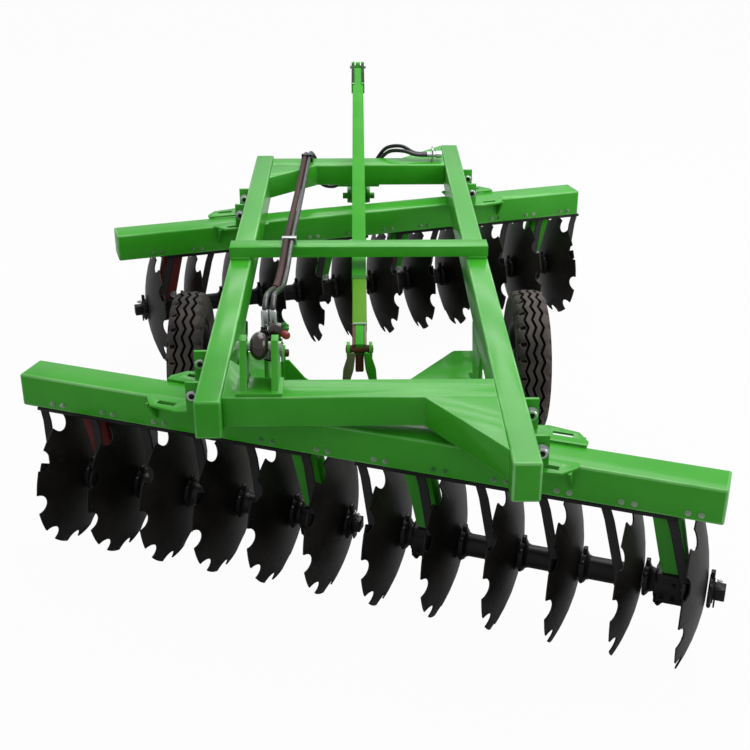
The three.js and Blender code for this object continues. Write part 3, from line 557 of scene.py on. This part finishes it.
def buildStandard(prefix, spotName, x, lean, place, bolts):
    s = standardSettings
    shift = lean * s["lean"]
    half, top, low = s["half"], s["top"], s["low"]
    points = [(x - shift - half, top), (x - half + 4, low), (x + half - 4, low), (x - shift + half, top)]
    shape = bmesh.new()
    corners = [shape.verts.new((a * mm, -s["depth"] / 2 * mm, b * mm)) for a, b in points]
    shape.faces.new(corners)
    bmesh.ops.bevel(shape, geom=corners[1:3], offset=s["corner"] * mm, offset_type="OFFSET", segments=5,
                    profile=0.5, affect="VERTICES", clamp_overlap=True, material=-1)
    made = bmesh.ops.extrude_face_region(shape, geom=shape.faces[:])
    bmesh.ops.translate(shape, vec=(0, s["depth"] * mm, 0), verts=vertsOf(made["geom"]))
    faceOut(shape)
    shape.normal_update()
    webs = [f for f in shape.faces if abs(f.normal.y) > 0.9]
    bmesh.ops.inset_individual(shape, faces=webs, thickness=s["rim"] * mm, depth=-s["recess"] * mm,
                               use_even_offset=True)
    roundEdges(shape, 2.2 * mm, 2, 40)
    overhang, footDepth, footHeight = s["foot"]
    foot = roundedBlock((2 * half + overhang, footDepth, footHeight), 2)
    joinInto(shape, foot, local(x - shift, 6, top - footHeight / 2))
    placed(shape, place)
    node = f"{prefix}_standard_{spotName}"
    finish = "maroonPrimer" if spotName == "outer_left" else "greenPaint"
    finishPiece(shape, f"{prefix}Standard{spotName.title().replace('_', '')}", "frame", finish, (node,))
    # The bolt low on the web and the two that hold the foot.
    joinInto(bolts, hexBolt(20, 12, 6),
             place @ local(x + 34 - lean * 6, -s["depth"] / 2, low + 30) @ turn(90, "X"))
    for side in (-1, 1):
        seat = place @ local(x - shift + side * (half + 10), 22, top - 12) @ turn(180, "X")
        joinInto(bolts, hexBolt(22, 12, 8), seat)


def buildBearings(prefix, places, place):
    s = bearingSettings
    shape = bmesh.new()
    shaft = gangSettings["shaft"]
    for x in places:
        joinInto(shape, roundedBlock(s["housing"], 12, 3), local(x, 0, shaft))
        joinInto(shape, turned(s["collar"], 28, closed=True), local(x, 0, shaft))
        out, back, up = s["footBolts"]
        for side in (-1, 1):
            for depth in (-1, 1):
                joinInto(shape, hexBolt(20, 12, 6),
                         local(x + side * out, depth * back, shaft + up) @ turn(180, "X"))
        out, back, up = s["coverBolts"]
        for side in (-1, 0, 1):
            joinInto(shape, hexBolt(13, 8, 0), local(x + side * out, back, shaft + up) @ turn(90, "X"), 1)
        joinInto(shape, hexBolt(12, 8, 0, False), local(x, back, shaft + s["oiler"]) @ turn(90, "X"))
    placed(shape, place)
    finishPiece(shape, f"{prefix}Bearings", "frame", "blackPaint", more=("discEdge",))


def buildScrapers(prefix, hand, hubs, lean, place, bolts):
    s = scraperSettings
    shape = bmesh.new()
    starts = [hub - lean * s["setback"] for hub in hubs]
    low, high = min(starts) - s["barOverhang"], max(starts) + s["barOverhang"]
    barDepth, barHeight = s["bar"]
    joinInto(shape, roundedBlock((high - low, barDepth, barHeight), 2),
             local((low + high) / 2, -60, gangSettings["beamBottom"] - barHeight / 2 - 0.4))
    angle, radius = math.radians(s["bladeAngle"]), s["bladeRadius"]
    y, z = -radius * math.cos(angle), gangSettings["shaft"] + radius * math.sin(angle)
    tilt = -lean * math.degrees(math.asin(radius / sphereRadius))
    (topY, topZ), (kneeY, kneeZ) = s["armTop"], s["armKnee"]
    wide, long = s["blade"] / 2, s["bladeLength"] / 2
    corners = [(-wide, -long), (wide - 12, -long), (wide, -long + 40), (wide, long), (-wide + 18, long),
               (-wide, long - 36)]
    for start, hub in zip(starts, hubs):
        x = hub - lean * (dishAt(radius) + s["clear"])
        stops = ((start, topY, topZ), (start + (x - start) * 0.2, kneeY, kneeZ),
                 (x - lean * 17, y + 6, z + 4))
        joinInto(shape, sweptBar([Vector(stop) * mm for stop in stops], s["arm"], s["armThickness"], 2))
        seat = (local(x, y, z) @ turn(90 - s["bladeAngle"], "X") @ turn(tilt, "Y")
                @ turn(90, "Y") @ turn(90, "Z"))
        joinInto(shape, plate(corners, 6, 5, 1), seat @ local(0, 0, -3))
        joinInto(shape, hexBolt(15, 9, 4), local(x - lean * 22, y + 4, z + 4) @ turn(-lean * 90 + tilt, "Y"))
        for side in (-1, 1):
            seat = place @ local(hub - lean * s["boltSetback"] + side * 23, -75, 738) @ turn(90, "X")
            joinInto(bolts, hexBolt(12, 6, 5), seat, 1)
    placed(shape, place)
    node = f"{prefix}_{hand}_scrapers"
    finishPiece(shape, f"{prefix}{hand.title()}Scrapers", "frame", "blackPaint", (node,))


for prefix in ("rear", "front"):
    lean = gangSettings[prefix]["lean"]
    place = gangFrame(prefix)
    hubs = gangHubs(prefix)
    count = gangSettings["discs"]     # in each half
    bolts = bmesh.new()
    softened(f"{prefix}GangBeamTube", f"{prefix}_gang_beam", 9, segments=3)
    for hand, mine in (("left", hubs[:count]), ("right", hubs[count:])):
        buildGang(prefix, hand, mine, lean, place)
        buildScrapers(prefix, hand, mine, lean, place, bolts)
        softened(f"{prefix}{hand.title()}ClampPlate", f"{prefix}_{hand}_clamp", 2.2)
    between = {name: (hubs[i] + hubs[i + 1]) / 2 for name, i in
               (("outer_left", 0), ("inner_left", 4), ("inner_right", 6), ("outer_right", 10))}
    for name, x in between.items():
        buildStandard(prefix, name, x, lean, place, bolts)
    buildBearings(prefix, between.values(), place)
    angle = gangSettings[prefix]["angle"]
    s = lugSettings
    for side, face in ((-1, leftRailBox[0].x), (1, rightRailBox[1].x)):
        # A round nut and its stud on each lug that stands against the rail.
        for end in (-1, 1):
            along = end * s["along"]
            run = math.tan(math.radians(lean * angle))
            x = (face - place.translation.x) / mm / math.cos(math.radians(angle)) - along * run
            seat = (place @ local(x + side * s["out"], along - s["back"], s["height"])
                    @ turn(lean * angle, "Z") @ turn(-90, "Z"))
            joinInto(bolts, turned(s["nut"], 24, closed=True), seat)
            joinInto(bolts, turned(s["stud"], 20), seat, 2)
    finishPiece(bolts, f"{prefix}Bolts", "frame", "zincPlate", more=("smearedBolt", "blackPaint"))
    print(prefix, "gang done")


# Rockshaft, arms and wheels.

wheelSettings = {
    "track": 1630, "axle": (1507, 444), "rim": 203, "bead": 58, "beadRise": 4, "beadRun": 20, "steps": 208,
    "crown": 351.5, "crownDrop": 7, "crownHalf": 63, "grooves": (-36, 0, 36), "groove": 12,
    "grooveDepth": 14, "grooveHalf": 52, "waves": 26, "wave": 8, "waveFrom": 334, "waveHalf": 50,
    "shoulder": (324, 346), "shoulderFrom": 60, "notch": 0.968, "nutCircle": 98, "rivetCircle": 168,
    "sidewall": ((212, -61), (224, -68), (242, -76), (264, -81), (288, -83.6), (310, -82), (322, -79),
                 (326, -75), (331, -74), (336, -70), (343, -63)),
    "disc": ((33, 44), (33, -62), (58, -62), (64, -58), (66, -12), (74, -6), (130, -8), (150, -4),
             (182, -6), (186, -24), (186, -56), (192, -64), (214, -68), (221, -66), (221, -60), (200, -57),
             (194, -44), (190, -16), (190, 16), (194, 44), (200, 57), (221, 60), (221, 66), (214, 68),
             (192, 64), (186, 56), (182, 12), (150, 8), (130, 4), (74, 6), (62, 12), (56, 50), (44, 56),
             (34, 56)),
    "hubCap": ((0, 58), (26, 57.5), (33, 54), (33, 42), (0, 42))}

softened("rockshaftTube", "rockshaft", 1.5, body="rockshaft", sharperThan=50)
for hand in ("left", "right"):
    softened(f"{hand}WheelArmBox", f"{hand}_wheel_arm", 3, body="rockshaft", sharperThan=40)


def crownAt(x):
    return wheelSettings["crown"] - wheelSettings["crownDrop"] * (x / wheelSettings["crownHalf"]) ** 2


def tyreShape():
    # A sidewall, four ribs with zigzag grooves between them, and the other sidewall.
    s = wheelSettings
    wall = [(s["rim"], -s["bead"]), *s["sidewall"]]
    half, tread = s["groove"] / 2, list(wall)
    for middle in s["grooves"]:
        top, floor = crownAt(middle), crownAt(middle) - s["grooveDepth"]
        left, right = middle - half, middle + half
        tread += [(crownAt(left - 2), left - 2), (top - 3, left), (floor, left + 1.5),
                  (floor, right - 1.5), (top - 3, right), (crownAt(right + 2), right + 2)]
    tread += [(r, -x) for r, x in reversed(wall)]
    shape = turned(tread, s["steps"])
    low, high = s["shoulder"]
    for vert in shape.verts:
        radius, x = math.hypot(vert.co.y, vert.co.z) / mm, vert.co.x / mm
        angle = math.atan2(vert.co.z, vert.co.y)
        quarter = int((angle + math.pi) / (2 * math.pi) * s["waves"] * 4) % 4
        if radius > s["waveFrom"] and abs(x) < s["waveHalf"]:
            zigzag = math.asin(math.sin(angle * s["waves"])) * 2 / math.pi
            vert.co.x += s["wave"] * zigzag * mm
        elif low < radius < high and abs(x) > s["shoulderFrom"] and quarter == 0:
            vert.co.y *= s["notch"]
            vert.co.z *= s["notch"]
    # The groove floors take the darker rubber of slot 1: painted shade in the grooves.
    for face in shape.faces:
        middle = face.calc_center_median()
        if math.hypot(middle.y, middle.z) / mm < s["crown"] - 6 and abs(middle.x) < s["grooveHalf"] * mm:
            face.material_index = 1
    lip, run, inner = s["bead"], s["bead"] - s["beadRun"], s["rim"] + s["beadRise"]
    bead = turned([(s["rim"], -lip), (inner, -run), (inner, run), (s["rim"], lip)], s["steps"])
    bmesh.ops.reverse_faces(bead, faces=bead.faces)
    joinInto(shape, bead)
    bmesh.ops.remove_doubles(shape, verts=shape.verts, dist=1e-6)
    faceOut(shape)
    return shape


def buildWheel(hand, side):
    s = wheelSettings
    place = moveTo(side * s["track"] / 2, *s["axle"])
    tyre = tyreShape()
    placed(tyre, place)
    finishPiece(tyre, f"{hand}TyreTread", f"{hand}_wheel", "tyreRubber", (f"{hand}_tyre",),
                ("grooveShadeRubber",), smooth=32)

    rim = turned(s["disc"], 64, closed=True)
    joinInto(rim, turned(s["hubCap"], 32))
    for index in range(6):
        seat = turn(index * 60, "X") @ local(7, 0, s["nutCircle"]) @ turn(90, "Y")
        joinInto(rim, hexBolt(22, 14, 8), seat, 1)
    for index in range(8):
        seat = turn(index * 45 + 10, "X") @ local(10, 0, s["rivetCircle"]) @ turn(90, "Y")
        joinInto(rim, hexBolt(6, 4, 0, False), seat)
    outward = turn(0 if side > 0 else 180, "Z")
    placed(rim, place @ outward)
    finishPiece(rim, f"{hand}WheelDisc", f"{hand}_wheel", "blackPaint", (f"{hand}_wheel_rim",),
                ("zincPlate",))


buildWheel("left", -1)
buildWheel("right", 1)
print("wheels done")


# Cylinder, with the pins and the leaves on the rockshaft.

# The rod's pins are at its ear on the rockshaft and at the drawbar's mast.
rodSettings = {"ear": (816, 830), "mast": (4100, 1344), "cheekEnd": 150, "sleeveEnd": 556}
cylinderSettings = {
    "x": -365, "base": (120, 1160), "lever": (870, 789), "headRadius": 53, "headHalf": 37, "portsAt": 150,
    "tube": ((0, 20), (30, 22), (38, 34), (38, 500), (44, 506), (44, 556), (40, 562), (24, 563), (24, 130)),
    "collar": ((0, 0), (15, 0), (17, 4), (17, 18), (13, 22), (13, 34), (0, 34)),
    "rod": 20, "rodStart": 240, "eye": ((20, -22), (34, -22), (36, -19), (36, 19), (34, 22), (20, 22))}
cs = cylinderSettings
runY, runZ = cs["lever"][0] - cs["base"][0], cs["lever"][1] - cs["base"][1]
span, fall = math.hypot(runY, runZ), math.degrees(math.atan2(runZ, runY))
# Local X of a cylinder part runs from the base pin towards the lever pin.
cylinderPlace = moveTo(cs["x"], *cs["base"]) @ turn(fall, "X") @ turn(90, "Z")

barrel = turned(cs["tube"], 36)
dome = [(math.cos(math.radians(a)) * cs["headRadius"], math.sin(math.radians(a)) * cs["headHalf"])
        for a in range(-66, 67, 12)]
head = turned([(19, dome[0][1]), *dome, (19, dome[-1][1])], 40, closed=True)
joinInto(barrel, head, turn(90, "Z"), 1)
joinInto(barrel, roundedBlock((62, 54, 50), 8, 3), local(cs["portsAt"], -24, 20))
for y in (-36, -6):
    joinInto(barrel, turned(cs["collar"], 20), local(cs["portsAt"], y, 44) @ turn(-90, "Y"))
placed(barrel, cylinderPlace)
finishPiece(barrel, "cylinderTube", "cylinder_barrel", "blackPaint", ("cylinder_barrel",), ("glossCap",))

# The port body beside the head, its red plug and the cluster of small green caps, each of which has
# its tip from the cluster's root and its size.
portSettings = {
    "body": ((0, -31), (17, -29), (25, -20), (29, 0), (25, 20), (17, 29), (0, 31)),
    "bodyAim": ((-305, 200, 1188), (-245, 185, 1196)),
    "neck": ((0, 0), (16, 0), (16, 30), (13, 34), (13, 78), (0, 78)),
    "neckAim": ((-334, 250, 1118), (-310, 206, 1180)),
    "plug": ((0, 0), (11, 0), (13, 3), (13, 13), (15, 15), (15, 30), (11, 37), (0, 38)),
    "plugAim": ((-284, 184, 1187), (-258, 148, 1180)),
    "capRoot": (-292, 190, 1194),
    "caps": ((30, -10, 8, 15), (40, 8, 22, 12), (22, 4, 30, 13), (46, -14, 14, 10), (34, 16, 6, 11))}
ps = portSettings
ports = turned(ps["body"], 30)
placed(ports, aimed(*(spot(*end) for end in ps["bodyAim"])))
joinInto(ports, turned(ps["neck"], 20), aimed(*(spot(*end) for end in ps["neckAim"])))
joinInto(ports, turned(ps["plug"], 24), aimed(*(spot(*end) for end in ps["plugAim"])), 1)
root = spot(*ps["capRoot"])
for *tip, size in ps["caps"]:
    cap = turned([(0, 0), (size * 0.5, 0), (size * 0.72, 5), (size * 0.66, size), (size * 0.4, size + 5),
                  (0, size + 6)], 12)
    tip = Vector(tip) * mm
    joinInto(ports, cap, aimed(root + tip * 0.4, root + tip), 2)
finishPiece(ports, "cylinderPorts", "cylinder_barrel", "glossCap", more=("redPlug", "darkGreenPaint"))

rod = turned([(0, cs["rodStart"]), (cs["rod"], cs["rodStart"] + 2), (cs["rod"], span - 40), (30, span - 30),
              (0, span - 28)], 32)
joinInto(rod, turned(cs["eye"], 32, closed=True), local(span, 0, 0) @ turn(90, "Z"))
placed(rod, cylinderPlace)
finishPiece(rod, "cylinderPistonRod", "cylinder_rod", "chromeRod", ("cylinder_rod",))


# Half length, radius and ease of each pin, and the clip's bends from the base pin.
pinSettings = {"base": (86, 18, 1), "lever": (62, 17, 2), "ear": (60, 18, 2), "mast": (52, 15, 1),
               "clipOut": 84, "clipRadius": 2.2,
               "clip": ((0, 28), (-8, 34), (-14, 24), (-10, 10), (-2, 2), (0, -14), (-4, -30), (-2, -62))}


def pinShape(name):
    # A pin across the machine, each end eased in two steps.
    half, radius, ease = pinSettings[name]
    return turned([(0, -half), (radius - ease, 2 - half), (radius, 6 - half), (radius, half - 6),
                   (radius - ease, half - 2), (0, half)], 24)


pins = bmesh.new()
joinInto(pins, pinShape("base"), moveTo(cs["x"], *cs["base"]))
clip = [spot(cs["x"] + pinSettings["clipOut"], cs["base"][0] + y, cs["base"][1] + z)
        for y, z in pinSettings["clip"]]
joinInto(pins, tube(clip, pinSettings["clipRadius"], 8))
finishPiece(pins, "cylinderBasePin", "frame", "smearedBolt")

leverPins = bmesh.new()
joinInto(leverPins, pinShape("lever"), moveTo(cs["x"], *cs["lever"]))
joinInto(leverPins, pinShape("ear"), moveTo(0, *rodSettings["ear"]))
finishPiece(leverPins, "rockshaftPins", "rockshaft", "forkBrown")

# The leaf-shaped cheeks that splay down from the rod's pin, and the brown end of the rod between them.
leafSettings = {"thickness": 12, "out": 44, "splay": 14, "at": (790, 752), "foot": (36, 22, 80),
                "footAt": (0, 812, 767),
                "outline": ((-9, 76), (9, 80), (22, 44), (25, -8), (15, -66), (-5, -86), (-17, -58),
                            (-19, 2))}
s = leafSettings
for name, side, finish in (("leftEarLeaf", -1, "greyOlive"), ("rightEarLeaf", 1, "greenPaint")):
    cheek = plate([(side * x, z) for x, z in s["outline"]], s["thickness"], 8, 2.5)
    seat = moveTo(side * s["out"], *s["at"]) @ turn(-side * s["splay"], "Y") @ turn(90, "X")
    placed(cheek, seat)
    faceOut(cheek)
    finishPiece(cheek, name, "rockshaft", finish)
foot = roundedBlock(s["foot"], 6, 3)
placed(foot, moveTo(*s["footAt"]))
finishPiece(foot, "rodFoot", "levelling_rod", "forkBrown")
print("cylinder done")


# Drawbar and levelling rod.

softened("drawbarBox", "drawbar", 3, body="drawbar", sharperThan=40)
softened("hitchTonguePlate", "hitch_tongue", 3, body="drawbar", sharperThan=40)

rs = rodSettings
rise = math.degrees(math.atan2(rs["mast"][1] - rs["ear"][1], rs["mast"][0] - rs["ear"][0]))
rodPlace = moveTo(0, *rs["ear"]) @ turn(rise, "X")     # its Y runs up the rod
bar = bmesh.new()
bar.from_mesh(frame["nodes"]["levelling_rod"].data)
bmesh.ops.remove_doubles(bar, verts=bar.verts, dist=2e-5)
bmesh.ops.bisect_plane(bar, geom=bar.verts[:] + bar.edges[:] + bar.faces[:], clear_inner=True,
                       plane_co=rodPlace @ Vector((0, (rs["sleeveEnd"] + 8) * mm, 0)),
                       plane_no=rodPlace.to_3x3() @ Vector((0, 1, 0)))
bmesh.ops.holes_fill(bar, edges=[e for e in bar.edges if e.is_boundary])
bmesh.ops.dissolve_limit(bar, angle_limit=math.radians(2), verts=bar.verts, edges=bar.edges)
roundEdges(bar, 4 * mm, 3, 40)
finishPiece(bar, "levellingRodBar", "levelling_rod", "rodGreen", ("levelling_rod",))

sleeveLength = rs["sleeveEnd"] - rs["cheekEnd"]
sleeveMiddle = (rs["sleeveEnd"] + rs["cheekEnd"]) / 2
for name, finish, size, at in (
        ("rodSleeve", "oliveGreen", (62, sleeveLength, 71), (0, sleeveMiddle, 0)),
        ("rodCollar", "darkGreenPaint", (68, 34, 77), (0, rs["sleeveEnd"] - 6, 0)),
        ("rodScrew", "rodGreen", (38, rs["cheekEnd"] + 8, 62), (0, rs["cheekEnd"] / 2 - 6, 0)),
        ("rodStrip", "beigeTape", (7, sleeveLength - 30, 52), (30, sleeveMiddle, 6)),
        ("rodLeftCheek", "forkBrown", (12, rs["cheekEnd"] + 12, 62), (-25, rs["cheekEnd"] / 2 - 6, 0)),
        ("rodRightCheek", "greyOlive", (12, rs["cheekEnd"] + 12, 62), (25, rs["cheekEnd"] / 2 - 6, 0))):
    shape = roundedBlock(size, 4, 3)
    placed(shape, rodPlace @ local(*at))
    finishPiece(shape, name, "levelling_rod", finish)
weld = bmesh.new()
for index in range(9):
    bead = bmesh.new()
    bmesh.ops.create_uvsphere(bead, u_segments=10, v_segments=7, radius=6.5 * mm)
    joinInto(weld, bead, rodPlace @ local(-26 + index * 6.5, rs["cheekEnd"] - 2 + (index % 2) * 2, 33))
finishPiece(weld, "rodWeld", "levelling_rod", "smearedBolt")

# The cheeks that carry the rod's far pin, their green paint darkened to near black as painted shade.
forkSettings = {"thickness": 18, "out": 31, "weldBack": 384,
                "outline": ((-380, -34), (-380, 36), (-60, 37), (20, 22), (31, 0), (20, -22), (-60, -34))}
reach = math.hypot(rs["mast"][0] - rs["ear"][0], rs["mast"][1] - rs["ear"][1])
farFork, s = bmesh.new(), forkSettings
for side in (-1, 1):
    seat = local(side * s["out"] - s["thickness"] / 2, reach, 0) @ turn(90, "Y") @ turn(90, "Z")
    joinInto(farFork, plate(s["outline"], s["thickness"], 8, 2), rodPlace @ seat)
    bead = roundedBlock((16, 16, 6), 2.5)
    joinInto(farFork, bead, rodPlace @ local(side * 30, reach - s["weldBack"], 35), 1)
finishPiece(farFork, "rodFarFork", "levelling_rod", "paintedShadeGreen", more=("smearedBolt",))

mastPins = bmesh.new()
joinInto(mastPins, pinShape("mast"), moveTo(0, *rs["mast"]))
finishPiece(mastPins, "mastPin", "drawbar", "zincPlate")
print("drawbar done")


# Hoses.

hoseSettings = {
    "radius": 11, "steps": 9, "sleeve": 15.5, "sleeveStart": 700, "sleeveEnd": (-290, 3050, 1020),
    "crimp": ((0, 0), (16, 0), (16, 10), (13, 12), (15, 14), (15, 58), (12, 64), (0, 64))}
leftRoute = [
    (-352, 262, 1190), (-352, 262, 1235), (-350, 330, 1262), (-347, 520, 1215), (-344, 820, 1120),
    (-342, 1120, 1084), (-340, 1400, 1084), (-338, 1485, 1084), (-336, 1600, 1082),
    (-330, 2000, 1060), (-322, 2500, 1040), (-314, 2950, 1036), (-311, 3065, 1036),
    (-306, 3140, 1036), (-292, 3182, 1000), (-262, 3190, 900), (-215, 3190, 835),
    (-150, 3190, 822), (-95, 3189, 850), (-45, 3188, 878), (0, 3188, 878), (45, 3188, 878),
    (85, 3186, 920), (125, 3180, 985), (180, 3150, 1044), (265, 3095, 1062), (330, 3068, 1049),
    (370, 3066, 1046), (400, 3066, 1046)]
rightRoute = [
    (-322, 262, 1190), (-322, 262, 1235), (-321, 330, 1262), (-319, 520, 1215), (-316, 820, 1120),
    (-314, 1120, 1084), (-312, 1400, 1084), (-310, 1485, 1084), (-308, 1600, 1082),
    (-302, 2000, 1060), (-295, 2500, 1040), (-287, 2950, 1036), (-284, 3065, 1036),
    (-279, 3160, 1036), (-262, 3212, 1000), (-225, 3220, 905), (-180, 3220, 858),
    (-125, 3219, 852), (-85, 3218, 864), (-45, 3217, 882), (0, 3217, 882), (45, 3217, 882),
    (80, 3215, 930), (115, 3210, 990), (165, 3185, 1056), (255, 3135, 1080), (325, 3100, 1052),
    (370, 3096, 1046), (400, 3096, 1046)]


def smoothRoute(points, steps):
    # A centripetal spline through the points.
    places = [spot(*p) for p in points]
    places = [2 * places[0] - places[1], *places, 2 * places[-1] - places[-2]]
    route = []
    for p0, p1, p2, p3 in zip(places, places[1:], places[2:], places[3:]):
        t1 = (p1 - p0).length ** 0.5
        t2 = t1 + (p2 - p1).length ** 0.5
        t3 = t2 + (p3 - p2).length ** 0.5
        for index in range(steps):
            t = t1 + (t2 - t1) * index / steps
            a1 = p0 * ((t1 - t) / t1) + p1 * (t / t1)
            a2 = p1 * ((t2 - t) / (t2 - t1)) + p2 * ((t - t1) / (t2 - t1))
            a3 = p2 * ((t3 - t) / (t3 - t2)) + p3 * ((t - t2) / (t3 - t2))
            b1 = a1 * ((t2 - t) / t2) + a2 * (t / t2)
            b2 = a2 * ((t3 - t) / (t3 - t1)) + a3 * ((t - t1) / (t3 - t1))
            route.append(b1 * ((t2 - t) / (t2 - t1)) + b2 * ((t - t1) / (t2 - t1)))
    return route + [places[-2]]


ends = bmesh.new()
for x, y, z in (leftRoute[0], rightRoute[0]):
    joinInto(ends, turned(hoseSettings["crimp"], 22), moveTo(x, y, z - 10) @ turn(-90, "Y"))
finishPiece(ends, "hoseEnds", "frame", "zincPlate")
for hand, route in (("left", leftRoute), ("right", rightRoute)):
    finishPiece(tube(smoothRoute(route, hoseSettings["steps"]), hoseSettings["radius"]),
                f"{hand}Hose", "frame", "hoseRubber", (f"hose_{hand}",))
sleeveStart, sleeveEnd = spot(0, hoseSettings["sleeveStart"], 0), spot(*hoseSettings["sleeveEnd"])
sleeve = [p for p in smoothRoute(leftRoute, hoseSettings["steps"])
          if sleeveStart.y < p.y < sleeveEnd.y and p.z > sleeveEnd.z and p.x < sleeveEnd.x]
finishPiece(tube(sleeve, hoseSettings["sleeve"]), "hoseWrap", "frame", "hoseSleeve")
for node, finish in (("hose_clamp_middle", "zincPlate"), ("hose_clamp_front", "blackPaint"),
                     ("hose_clamp_lower", "blackPaint"), ("hose_couplers", "zincPlate")):
    softened(node + "Body", node, 1.2, finish, sharperThan=50)
print("hoses done")


# Floor, light and camera.

roomSettings = {"floorSize": 70, "floorTone": 0.42, "cameraShare": 0.97, "sky": 0.62,
                "strips": ((3.6, 20), (4.7, 26), (6.1, 36))}     # height and power
floorMesh = bpy.data.meshes.new("floor")
floorShape = bmesh.new()
bmesh.ops.create_grid(floorShape, x_segments=1, y_segments=1, size=roomSettings["floorSize"] / 2)
floorShape.to_mesh(floorMesh)
floorShape.free()
floor = addObject("floor", floorMesh)
floorPaint = bpy.data.materials.new("paleFloor")
floorPaint.use_nodes = True
nodes, links = floorPaint.node_tree.nodes, floorPaint.node_tree.links
dull = nodes["Principled BSDF"]
dull.inputs["Base Color"].default_value = (*[roomSettings["floorTone"]] * 3, 1)
dull.inputs["Roughness"].default_value = 0.9
glow = nodes.new("ShaderNodeEmission")
glow.inputs["Color"].default_value = (1, 1, 1, 1)
blend = nodes.new("ShaderNodeMixShader")
path = nodes.new("ShaderNodeLightPath")
share = nodes.new("ShaderNodeMath")
share.operation = "MULTIPLY"
share.inputs[1].default_value = roomSettings["cameraShare"]
links.new(path.outputs["Is Camera Ray"], share.inputs[0])
links.new(share.outputs[0], blend.inputs["Fac"])
links.new(dull.outputs["BSDF"], blend.inputs[1])
links.new(glow.outputs["Emission"], blend.inputs[2])
links.new(blend.outputs["Shader"], nodes["Material Output"].inputs["Surface"])
floorMesh.materials.append(floorPaint)

world = bpy.data.worlds.new("studio")
bpy.context.scene.world = world
world.use_nodes = True
sky = world.node_tree.nodes["Background"]
sky.inputs["Color"].default_value = (0.95, 0.97, 1.0, 1)
sky.inputs["Strength"].default_value = roomSettings["sky"]


def addLight(name, place, target, size, power):
    light = bpy.data.lights.new(name, "AREA")
    light.shape = "RECTANGLE"
    light.size, light.size_y = size
    light.energy = power
    holder = addObject(name, light)
    holder.location = place
    holder.rotation_euler = (Vector(target) - Vector(place)).to_track_quat("-Z", "Y").to_euler()


addLight("softTop", (1.5, 1.5, 6.5), (0, 0, 0.5), (6, 6), 380)
addLight("rightSide", (6.5, -2.0, 3.2), (0, -1, 0.4), (4, 3), 130)
# Strips ahead of the machine that show as pale bars in the tops of the rails.
for height, power in roomSettings["strips"]:
    addLight("strip", (0.5, 6.9, height), (0.5, -2.5, 0.9), (5, 0.4), power)

cameraSettings = {"lens": 60, "place": (0, -4043, 3035), "down": 25.6, "right": 0.78}
cameraData = bpy.data.cameras.new("camera")
cameraData.lens = cameraSettings["lens"]
cameraData.sensor_width = 36
cameraData.clip_end = 200
camera = addObject("camera", cameraData)
camera.location = spot(*cameraSettings["place"])
camera.rotation_euler = [math.radians(a) for a in (90 - cameraSettings["down"], 0, -cameraSettings["right"])]
bpy.context.scene.camera = camera
bpy.context.scene.view_settings.view_transform = "Standard"

print("scene done")
